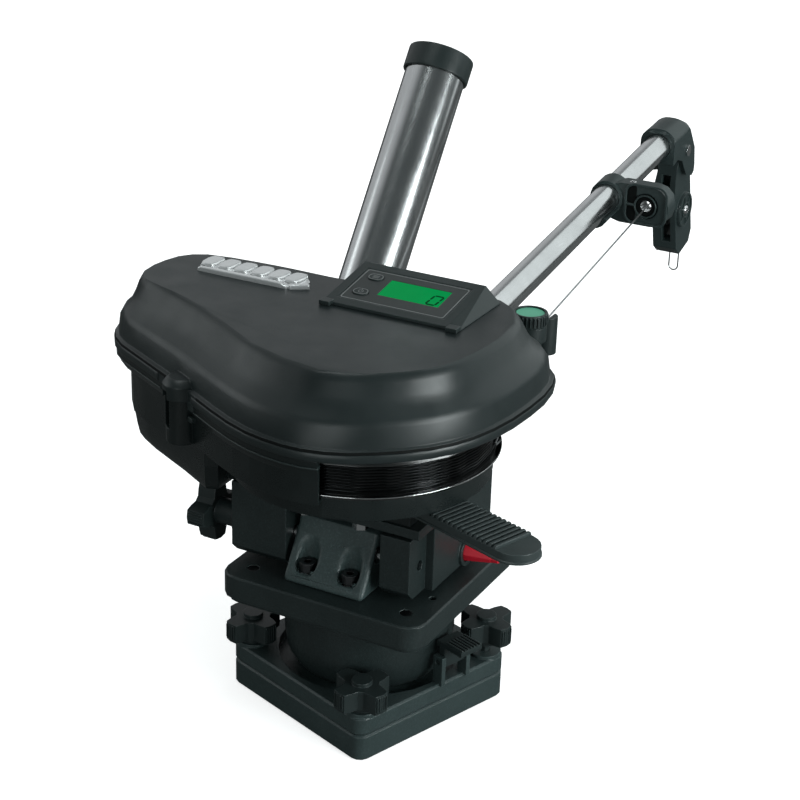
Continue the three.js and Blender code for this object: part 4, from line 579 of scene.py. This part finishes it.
def button_marks(node, body, kind):
    """A ring round a button's face, with a broken circle and a stroke, or three strokes, inside it."""
    low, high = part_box(node)
    mid = (low + high) / 2
    n = Vector((0, -math.sin(SLOPE), math.cos(SLOPE)))
    top = Vector((mid.x, high.y, high.z)) - face_y * ((high.y - low.y) / math.cos(SLOPE) / 2)
    place = basis(top + n * 0.00001, face_x, face_y)
    length, width = high.x - low.x, high.y - low.y
    bm = bmesh.new()
    ring_band(bm, oval(length - 0.0008, width - 0.0008), oval(length - 0.0018, width - 0.0018), 0, PRINT,
              place)
    half = 0.00028
    if kind == "power":
        outer, inner, first, sweep, count = 0.0021, 0.0016, 2.2, 2 * math.pi - 1.26, 20
        arc = [first + i * sweep / count for i in range(count + 1)]
        for a, b in zip(arc, arc[1:]):
            slab(bm, [(r * math.cos(turn), r * math.sin(turn)) for r, turn in
                      ((outer, a), (outer, b), (inner, b), (inner, a))], 0, PRINT, place)
        slab(bm, [(-half, 0.0006), (half, 0.0006), (half, 0.0028), (-half, 0.0028)], 0, PRINT, place)
    else:
        x = 0.0026
        for y in (-0.0015, 0, 0.0015):
            slab(bm, [(-x, y - half), (x, y - half), (x, y + half), (-x, y + half)], 0, PRINT, place)
    finish_mesh(node + "_mark", bm, "print", body, smooth=False)


segment_digit()
panel_edge_highlight()
button_marks("power_button", "button_power", "power")
button_marks("mode_button", "button_mode", "menu")


# Screws
NOSE_Y, NOSE_Z, HEAD_DROP, LEAN = 552, 325, 68, math.radians(16)
WHEEL = mm(0, NOSE_Y - math.cos(LEAN) + HEAD_DROP * math.sin(LEAN),
           NOSE_Z - math.sin(LEAN) - HEAD_DROP * math.cos(LEAN))


def button_screw(name, origin, x, y, radius, body):
    """A domed screw head with a round recess, standing on the placing frame."""
    s = radius * 0.45
    h = radius * 0.62
    bm = bmesh.new()
    lathe(bm, [(0, -radius * 0.3), (radius * 0.98, -radius * 0.3), (radius, 0), (radius * 0.97, h * 0.35),
               (radius * 0.84, h * 0.7), (radius * 0.66, h * 0.93), (s * 1.12, h), (s, h * 0.97),
               (s, h * 0.3),
               (0, h * 0.18)], basis(origin, x, y), 30)
    finish_mesh(name, bm, "brightSteel", body)


button_screw("bracket_screw", mm(44, 401, 329.8), (1, 0, 0), (0, 1, 0), 0.0042, "frame")
button_screw("pulley_screw", Vector((0.0374, WHEEL.y, WHEEL.z)), (0, 1, 0), (0, 0, 1), 0.0048, "head")


# Grips, rims and ribs on the moulded pieces
def star_grips(node, body, axis, start, end):
    """Fine ribs across the lobe ends of a star knob, between two shares of its length."""
    low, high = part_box(node)
    mid = (low + high) / 2
    flat_axes = [i for i in range(3) if i != axis]
    along = Vector([1.0 if i == axis else 0.0 for i in range(3)])

    def reach(vertex):
        return math.hypot(*(vertex.co[i] - mid[i] for i in flat_axes))

    far = max(nodes[node].data.vertices, key=reach)
    radius = reach(far)
    first = Vector([0.0 if i == axis else far.co[i] - mid[i] for i in range(3)]).normalized()
    span = high[axis] - low[axis]
    middle = low[axis] + span * (start + end) / 2
    bm = bmesh.new()
    for lobe in range(4):
        outward = Matrix.Rotation(lobe * math.pi / 2, 3, along) @ first
        side = along.cross(outward)
        for i in range(-2, 3):
            at = mid.copy()
            at[axis] = middle
            at += outward * (radius * 0.983) + side * (i * radius * 0.095)
            bar_piece(bm, basis(at, side, along), span * (end - start), radius * 0.045, 0.0006)
    finish_mesh(node + "_grips", bm, "blackPlastic", body, 0.00015, 1)


for corner in ("front", "right", "rear", "left"):
    star_grips("base_knob_" + corner, "knob_" + corner, 2, 0.69, 0.93)
star_grips("tilt_knob", "knob_tilt", 0, 0.12, 0.49)


def lock_knob_rim():
    """The knurled edge of the boom lock knob, standing a little above its cap."""
    low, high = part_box("boom_lock_knob")
    cap_low, cap_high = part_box("boom_lock_cap")
    mid = (cap_low + cap_high) / 2
    radius, cap = (high.y - low.y) / 2, (cap_high.y - cap_low.y) / 2 + 0.0004
    place = basis(Vector((mid.x, mid.y, cap_low.z)), (1, 0, 0), (0, 1, 0))
    rise, ribs = 0.0026, 28
    bm = bmesh.new()
    ring_band(bm, circle(0, 0, radius, 48), circle(0, 0, cap, 48), -0.0004, rise, place)
    for x, y in circle(0, 0, 1, ribs):
        at = Vector((mid.x, mid.y, cap_low.z - rise)) + Vector((x, y, 0)) * radius
        bar_piece(bm, basis(at, Vector((-y, x, 0)), (0, 0, 1)), 0.009, 0.0013, 0.0008)
    finish_mesh("boom_lock_rim", bm, "blackPlastic", "boom_lock", 0.0003)


lock_knob_rim()


def head_ribs():
    """Raised rim, hub ring and spokes on the pulley head's round face."""
    face = Vector((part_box("pulley_head")[1].x, WHEEL.y, WHEEL.z))
    down = Vector((0, math.sin(LEAN), -math.cos(LEAN)))
    place = basis(face, Vector((0, 1, 0)), Vector((0, 0, 1)))
    rise, spokes, spoke_middle = 0.0011, 6, 0.0118
    bm = bmesh.new()
    for outer, inner in ((0.0176, 0.0154), (0.0082, 0.0064)):
        ring_band(bm, circle(0, 0, outer), circle(0, 0, inner), -0.0002, rise, place)
    for i in range(spokes):
        out = Matrix.Rotation(i * 2 * math.pi / spokes, 3, (1, 0, 0)) @ down
        bar_piece(bm, basis(face + out * spoke_middle, Vector((1, 0, 0)).cross(out) * -1, out), 0.0078,
                  0.0017, rise)
    finish_mesh("pulley_head_ribs", bm, "headPlastic", "head", 0.0003)


head_ribs()

BRACKET_HALF, BRACKET_CLEAR_OF_BOOM = 0.009, 0.0405


def bracket_pockets():
    """A rim and cross ribs on the bracket's near face, with pockets left between them, their floors
    near-black as painted shade.
    """
    low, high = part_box("boom_bracket")
    eye = middle_of("fairlead_ring")
    edge, wall, proud, hub = 0.0008, 0.0022, 0.0019, 0.0108
    floor_low, floor_high, half_rib = 0.00002, 0.0003, 0.0012
    left, right, bottom, top = BRACKET_CLEAR_OF_BOOM, high.x - edge, low.z + edge, high.z - edge
    place = basis(Vector((0, eye.y - BRACKET_HALF, 0)), (1, 0, 0), (0, 0, 1))
    bm = bmesh.new()
    ring_band(bm, rounded_box(left, right, bottom, top, 0.009),
              rounded_box(left + wall, right - wall, bottom + wall, top - wall, 0.0068), -0.0002, proud,
              place)
    ring_band(bm, circle(eye.x, eye.z, hub), circle(eye.x, eye.z, hub - 0.0014), -0.0002, proud, place)
    start, end = left + wall * 0.7, eye.x - hub + 0.0005
    bar_piece(bm, place @ basis(Vector(((start + end) / 2, eye.z, 0)), Vector((0, 1, 0)), Vector((-1, 0, 0))),
              end - start, half_rib * 2, proud)
    finish_mesh("boom_bracket_ribs", bm, "headPlastic", "frame", 0.0004)
    # The pocket floors: near-black painted shade
    bm = bmesh.new()
    for z_low, z_high in ((bottom + wall, eye.z - half_rib), (eye.z + half_rib, top - wall)):
        slab(bm, rounded_box(left + wall, eye.x - hub + 0.0014, z_low, z_high, 0.0025), floor_low,
             floor_high, place)
    ring_band(bm, circle(eye.x, eye.z, hub - 0.0015), circle(eye.x, eye.z, 0.0058), floor_low, floor_high,
              place)
    finish_mesh("boom_bracket_pocket_shade", bm, "pocket", "frame", smooth=False)


bracket_pockets()


def spool_rim_highlight():
    """A chrome band on the spool's lower rim, put there as a painted highlight along the rim."""
    low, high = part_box("spool")
    mid = (low + high) / 2
    radius = (high.x - low.x) / 2
    place = basis(Vector((mid.x, mid.y, low.z)), (1, 0, 0), (0, 1, 0))
    bm = bmesh.new()
    ring_band(bm, circle(0, 0, radius + 0.0005, 96), circle(0, 0, radius - 0.004, 96), 0.0022, 0.0031, place)
    finish_mesh("spool_rim_highlight", bm, "chrome", "reel", 0.0002)


spool_rim_highlight()


def rim_clip():
    """The small clip and lug beside the power socket's hood, on the rim. Sizes are in millimetres."""
    mid = middle_of("power_socket")
    along = Vector((0.879, -0.477, 0))
    out = Vector((-0.477, -0.879, 0))
    for name, shift, z, length, height in (("rim_clip", 18.5, 257.5, 11, 8), ("rim_lug", 17.5, 246.5, 7, 5)):
        at = mid + along * shift * MM - out * 1.2 * MM
        at.z = z * MM
        bm = bmesh.new()
        slab(bm, rounded_box(-length * MM / 2, length * MM / 2, -height * MM / 2, height * MM / 2, 0.0012, 3),
             -0.004, 0.0036, basis(at, along, (0, 0, 1)), 0.12)
        finish_mesh(name, bm, "darkPlastic", "frame", 0.0008, 3)


rim_clip()

# The lever's tall grip ribs and the lip along its sides, in millimetres from the spool's middle
PAD_WIDTH, PAD_FROM, RIBS, RIB_SHARE, LIP_FROM = 36, 82, 17, 0.5, 4


def lever_grips():
    low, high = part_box("clutch_lever")
    hub = middle_of("spool").xy
    tip = max((v.co.xy for v in nodes["clutch_lever"].data.vertices), key=lambda c: (c - hub).length) - hub
    along, reach = tip.normalized(), tip.length
    side = Vector((-along.y, along.x))
    half, first = PAD_WIDTH * MM / 2, PAD_FROM * MM
    last = reach - half
    pitch = (last - first) / RIBS
    bm = bmesh.new()
    for i in range(RIBS):
        at = hub + along * (first + (i + RIB_SHARE / 2) * pitch)
        bar_piece(bm, basis(Vector((*at, high.z - 0.0014)), (*along, 0), (*side, 0)), half * 2 + 0.0007,
                  pitch * (RIB_SHARE + 0.1), 0.0027, 0.0, 0.06)
    finish_mesh("clutch_lever_grips", bm, "leverPaintedLight", "lever", 0.0005)
    bm = bmesh.new()
    start = first - LIP_FROM * MM
    round_end = [math.pi * (i / 16 - 0.5) for i in range(17)]
    points = [(start, -half), *((last + half * math.cos(a), half * math.sin(a)) for a in round_end),
              (start, half)]
    outer, inner = [], []
    for x, y in points:
        outward = Vector((max(x - last, 0), y)).normalized()
        for ring, step in ((outer, 0.0008), (inner, -0.0004)):
            q = Vector((x, y)) + outward * step
            ring.append(hub + along * q.x + side * q.y)
    rows = [[bm.verts.new((*q, low.z + rise)) for q in ring] for ring, rise in
            ((outer, 0.0004), (outer, 0.0019), (inner, 0.0026), (inner, 0.0001))]
    for a, b in zip(rows, rows[1:] + rows[:1]):
        skin(bm, a, b, closed=False)
    bm.faces.new([row[0] for row in rows])
    bm.faces.new([row[-1] for row in rows][::-1])
    finish_mesh("clutch_lever_lip", bm, "leverPaintedLight", "lever", 0.0003)


lever_grips()


# The smooth hood over the nose cap, in millimetres
HOOD_LEFT, HOOD_RIGHT, HOOD_ROUND_X, HOOD_ROUND_Z, HOOD_WALL = 5.4, 40.6, 15.0, 13.0, 0.9
# Side outlines in y and z, with the way and the share by which the rounding draws a point in
HOOD = [(515.4, 317.9, 0, 0), (515.4, 351.9, 0, -1), (535, 353.9, 0, -1), (549.5, 355.8, -0.1, -1),
        (556.5, 353, -0.3, -0.55), (561.5, 346.5, -0.28, -0.21), (567.5, 335.5, -0.18, -0.07),
        (574.3, 323.5, -0.05, 0), (577.8, 303.8, 0, 0), (576.9, 298.2, 0, 0), (572, 295.1, 0, 0),
        (555.6, 298.9, 0, 0), (540.5, 316.9, 0, 0), (527.1, 321.3, 0, 0)]
HOOD_ROOM = [(517.4, 308, 0, 0), (517.4, 350.4, 0, -1), (535, 352.5, 0, -1), (549.3, 354.4, -0.1, -1),
             (555.9, 351.8, -0.3, -0.55), (560.5, 345.7, -0.28, -0.21), (566.3, 335, -0.18, -0.07),
             (572.9, 324.5, -0.05, 0), (583, 323, 0, 0), (583, 289, 0, 0), (553, 289, 0, 0), (538, 308, 0, 0)]
BOOM_X, BOOM_Y, BOOM_Z, BOOM_RISE, BOOM_HOLE, BOOM_HOLE_Y = 23, 191, 286.2, math.atan(0.149), 13.0, 516.4


def hood_solid(name, outline, left, right):
    """An unlinked solid of the side outline, rounded along its upper edges."""
    turns = [math.pi / 2 * i / 6 for i in range(7)]
    steps = [(left + HOOD_ROUND_X * (1 - math.cos(a)), HOOD_ROUND_Z * (1 - math.sin(a))) for a in turns]
    steps += [(left + right - x, inward) for x, inward in reversed(steps)]
    bm = bmesh.new()
    rings = [[bm.verts.new(mm(x, y + dy * inward, z + dz * inward)) for y, z, dy, dz in outline]
             for x, inward in steps]
    for a, b in zip(rings, rings[1:]):
        skin(bm, a, b)
    bm.faces.new(rings[0])
    bm.faces.new(rings[-1][::-1])
    return bpy.data.objects.new(name, as_mesh(name, bm))


def nose_hood():
    """A hollow hood: the rounded outside less a like inside and the boom's hole."""
    whole = hood_solid("hood_work", HOOD, HOOD_LEFT, HOOD_RIGHT)
    room = hood_solid("hood_room", HOOD_ROOM, HOOD_LEFT + HOOD_WALL, HOOD_RIGHT - HOOD_WALL)
    middle = mm(BOOM_X, BOOM_HOLE_Y, BOOM_Z + (BOOM_HOLE_Y - BOOM_Y) * math.tan(BOOM_RISE))
    place = basis(middle, (1, 0, 0), (0, -math.sin(BOOM_RISE), math.cos(BOOM_RISE)))
    bm = bmesh.new()
    lathe(bm, [(0, -0.012), (BOOM_HOLE * MM, -0.012), (BOOM_HOLE * MM, 0.012), (0, 0.012)], place, 48)
    hole = bpy.data.objects.new("hood_hole", as_mesh("hood_hole", bm))
    for obj in (whole, room, hole):
        scene.collection.objects.link(obj)
    for tool in (room, hole):
        cut = whole.modifiers.new("cut", "BOOLEAN")
        cut.operation, cut.solver, cut.object = "DIFFERENCE", "EXACT", tool
    bpy.context.view_layer.update()
    made = bpy.data.meshes.new_from_object(whole.evaluated_get(bpy.context.evaluated_depsgraph_get()))
    for obj in (whole, room, hole):
        bpy.data.objects.remove(obj)
    bm = bmesh.new()
    bm.from_mesh(made)
    finish_mesh("nose_hood", bm, "headPlastic", "frame", 0.0005)


nose_hood()


def live_line():
    """The running line, copied from the CAD node in its place, with the CAD node hidden."""
    obj = bpy.data.objects.new("line_to_head", nodes["running_line"].data.copy())
    scene.collection.objects.link(obj)
    shade(obj)
    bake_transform(obj)
    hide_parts("running_line")


live_line()


# Lip, groove with painted shade, and bead round the housing
OUTLINE_STEP, SOCKET_ROOM = 0.0009, 0.017


def outline_at(node, height):
    """The outermost outline of a node at a height, in order and anticlockwise."""
    bm = bmesh.new()
    bm.from_mesh(nodes[node].data)
    bmesh.ops.remove_doubles(bm, verts=bm.verts, dist=0.00001)
    parts = bm.verts[:] + bm.edges[:] + bm.faces[:]
    cut = bmesh.ops.bisect_plane(bm, geom=parts, dist=1e-7, plane_co=(0, 0, height),
                                 plane_no=(0, 0, 1))["geom_cut"]
    near = {}
    for e in cut:
        if isinstance(e, bmesh.types.BMEdge):
            for v, w in (e.verts, reversed(e.verts)):
                near.setdefault(v, []).append(w)
    loops = []
    while near:
        v = next(iter(near))
        loop = []
        while v is not None:
            loop.append(v.co.xy.copy())
            v = next((w for w in near.pop(v) if w in near), None)
        loops.append(loop)
    bm.free()

    def area_of(loop):
        return sum(a.x * b.y - b.x * a.y for a, b in zip(loop, loop[1:] + loop[:1])) / 2

    best = max(loops, key=lambda loop: abs(area_of(loop)))
    if area_of(best) < 0:
        best.reverse()
    kept = [best[0]]
    for p in best[1:]:
        if (p - kept[-1]).length > OUTLINE_STEP:
            kept.append(p)
    return kept


def band_round(name, node, height, profile, look):
    """Sweeps a profile of (outward, height) millimetres round a node, but not at the power socket."""
    loop = outline_at(node, height * MM)
    n = len(loop)
    normals = []
    for i in range(n):
        along = (loop[(i + 1) % n] - loop[i - 1]).normalized()
        normals.append(Vector((along.y, -along.x)))
    socket = middle_of("power_socket").xy
    away = [(p - socket).length > SOCKET_ROOM for p in loop]
    first = next(i for i in range(n) if away[i] and not away[i - 1])
    bm = bmesh.new()
    rings = []
    for k in range(n):
        i = (first + k) % n
        if away[i]:
            rings.append([bm.verts.new((*(loop[i] + normals[i] * (o * MM)), z * MM)) for o, z in profile])
    for a, b in zip(rings, rings[1:]):
        skin(bm, a, b)
    bm.faces.new(rings[0])
    bm.faces.new(rings[-1][::-1])
    finish_mesh(name, bm, look, "frame")


band_round("cover_lip", "cover_shell", 263.5,
           [(-0.8, 260.3), (0.5, 260.2), (1.0, 261.2), (1.2, 263.5), (1.0, 265.7), (0.4, 266.8),
            (-0.8, 266.9)],
           "coverPlastic")
# A near-black band in the groove under the cover's rim: painted shade
band_round("cover_groove_painted_shade", "cover_shell", 268.0,
           [(-1.5, 267.0), (0.62, 267.0), (0.12, 268.9), (-1.5, 268.9)], "pocket")
band_round("tub_bead", "housing_tub", 256.5,
           [(-0.5, 253.3), (0.4, 253.2), (0.8, 253.9), (0.4, 254.6), (-0.5, 254.6)], "darkPlastic")


# Light and stage
COOL = (0.93, 1.0, 1.0)
MIDDLE, HIGH_MIDDLE = (0, 0.05, 0.25), (0.1, 0, 0.28)


def area(name, at, look_at, size, power, size_y=None):
    """An area light of a size in metres and a power in watts, turned toward a point."""
    data = bpy.data.lights.new(name, "AREA")
    data.shape = "RECTANGLE"
    data.size, data.size_y = size, size_y or size
    data.energy = power
    data.color = COOL
    obj = bpy.data.objects.new(name, data)
    scene.collection.objects.link(obj)
    obj.location = at
    obj.rotation_euler = (Vector(look_at) - Vector(at)).to_track_quat("-Z", "Y").to_euler()
    obj.visible_camera = False


area("overhead", (0.7, 0.5, 1.8), HIGH_MIDDLE, 0.7, 4)
area("key", (0.8, 1.62, 1.2), HIGH_MIDDLE, 2.2, 13)
area("left", (-1.7, -0.5, 0.7), MIDDLE, 0.9, 2.6)
area("front", (0.3, -2.2, 0.5), (0, 0, 0.08), 1.3, 12)
area("top", (-0.25, -0.3, 2.0), MIDDLE, 0.7, 7)
area("side", (1.68, -0.2, 0.55), (0.05, 0, 0.27), 0.9, 27, size_y=0.7)


def fresh(tree, *kinds):
    """Empties a node tree and gives it one node of each kind."""
    tree.nodes.clear()
    return [tree.nodes.new("ShaderNode" + kind) for kind in kinds]


def join(tree, *pairs):
    for a, b in pairs:
        tree.links.new(a, b)


# The world: white to the camera, an even fill to diffuse rays, and dim toward one side in reflections
DIM_SIDE = (0.92, -0.24, 0.07)
BRIGHT, DIM, FILL = (0.47, 0.49, 0.5, 1), (0.06, 0.07, 0.071, 1), (0.15, 0.17, 0.17, 1)
world = bpy.data.worlds.new("studio")
scene.world = world
world.use_nodes = True
w_out, w_mix, w_see, w_env, w_path, w_dir, w_dot, w_ramp, w_half, w_fill = fresh(
    world.node_tree, "OutputWorld", "MixShader", "Background", "Background", "LightPath", "TexCoord",
    "VectorMath", "ValToRGB", "Math", "Mix")
w_see.inputs[0].default_value = (1, 1, 1, 1)
w_dot.operation = "DOT_PRODUCT"
w_dot.inputs[1].default_value = DIM_SIDE
low_end, high_end = w_ramp.color_ramp.elements
low_end.position, low_end.color = 0.2, BRIGHT
high_end.position, high_end.color = 0.4, DIM
w_half.operation = "MULTIPLY_ADD"
w_half.inputs[1].default_value = w_half.inputs[2].default_value = 0.5
w_fill.data_type = "RGBA"
w_fill.inputs[6].default_value = FILL
join(world.node_tree, (w_dir.outputs["Generated"], w_dot.inputs[0]),
     (w_dot.outputs["Value"], w_half.inputs[0]),
     (w_half.outputs[0], w_ramp.inputs[0]), (w_path.outputs["Is Glossy Ray"], w_fill.inputs[0]),
     (w_ramp.outputs[0], w_fill.inputs[7]), (w_fill.outputs[2], w_env.inputs[0]),
     (w_path.outputs["Is Camera Ray"], w_mix.inputs[0]), (w_env.outputs[0], w_mix.inputs[1]),
     (w_see.outputs[0], w_mix.inputs[2]), (w_mix.outputs[0], w_out.inputs[0]))

# The floor: to the camera it fades to white away from the part, and to reflected rays it is dark
FLOOR_HALF, FLOOR_Z = 9, -0.0006
corners = [(x * FLOOR_HALF, y * FLOOR_HALF, FLOOR_Z) for x, y in ((-1, -1), (1, -1), (1, 1), (-1, 1))]
floor_mesh = bpy.data.meshes.new("floor")
floor_mesh.from_pydata(corners, [], [(0, 1, 2, 3)])
floor = bpy.data.objects.new("floor", floor_mesh)
scene.collection.objects.link(floor)
floor_look = bpy.data.materials.new("pale_floor")
floor_look.use_nodes = True
f_out, f_add, f_dif, f_emi, f_path, f_mul, f_coord, f_far, f_fade, f_tint, f_soft = fresh(
    floor_look.node_tree, "OutputMaterial", "AddShader", "BsdfDiffuse", "Emission", "LightPath", "Math",
    "TexCoord", "VectorMath", "MapRange", "Mix", "Math")
f_mul.operation = "MULTIPLY"
f_far.operation = "LENGTH"
for key, value in (("From Min", 0.5), ("From Max", 1.6), ("To Min", 0.72), ("To Max", 1.0)):
    f_fade.inputs[key].default_value = value
f_tint.data_type = "RGBA"
f_tint.inputs[6].default_value = (0.86, 0.86, 0.86, 1)
f_tint.inputs[7].default_value = (0.15, 0.15, 0.15, 1)
f_soft.operation = "MAXIMUM"
join(floor_look.node_tree, (f_coord.outputs["Object"], f_far.inputs[0]),
     (f_far.outputs["Value"], f_fade.inputs["Value"]),
     (f_fade.outputs[0], f_mul.inputs[1]), (f_path.outputs["Is Diffuse Ray"], f_soft.inputs[0]),
     (f_path.outputs["Is Glossy Ray"], f_soft.inputs[1]), (f_soft.outputs[0], f_tint.inputs[0]),
     (f_tint.outputs[2], f_dif.inputs[0]), (f_path.outputs["Is Camera Ray"], f_mul.inputs[0]),
     (f_mul.outputs[0], f_emi.inputs["Strength"]), (f_dif.outputs[0], f_add.inputs[0]),
     (f_emi.outputs[0], f_add.inputs[1]), (f_add.outputs[0], f_out.inputs[0]))
floor_mesh.materials.append(floor_look)
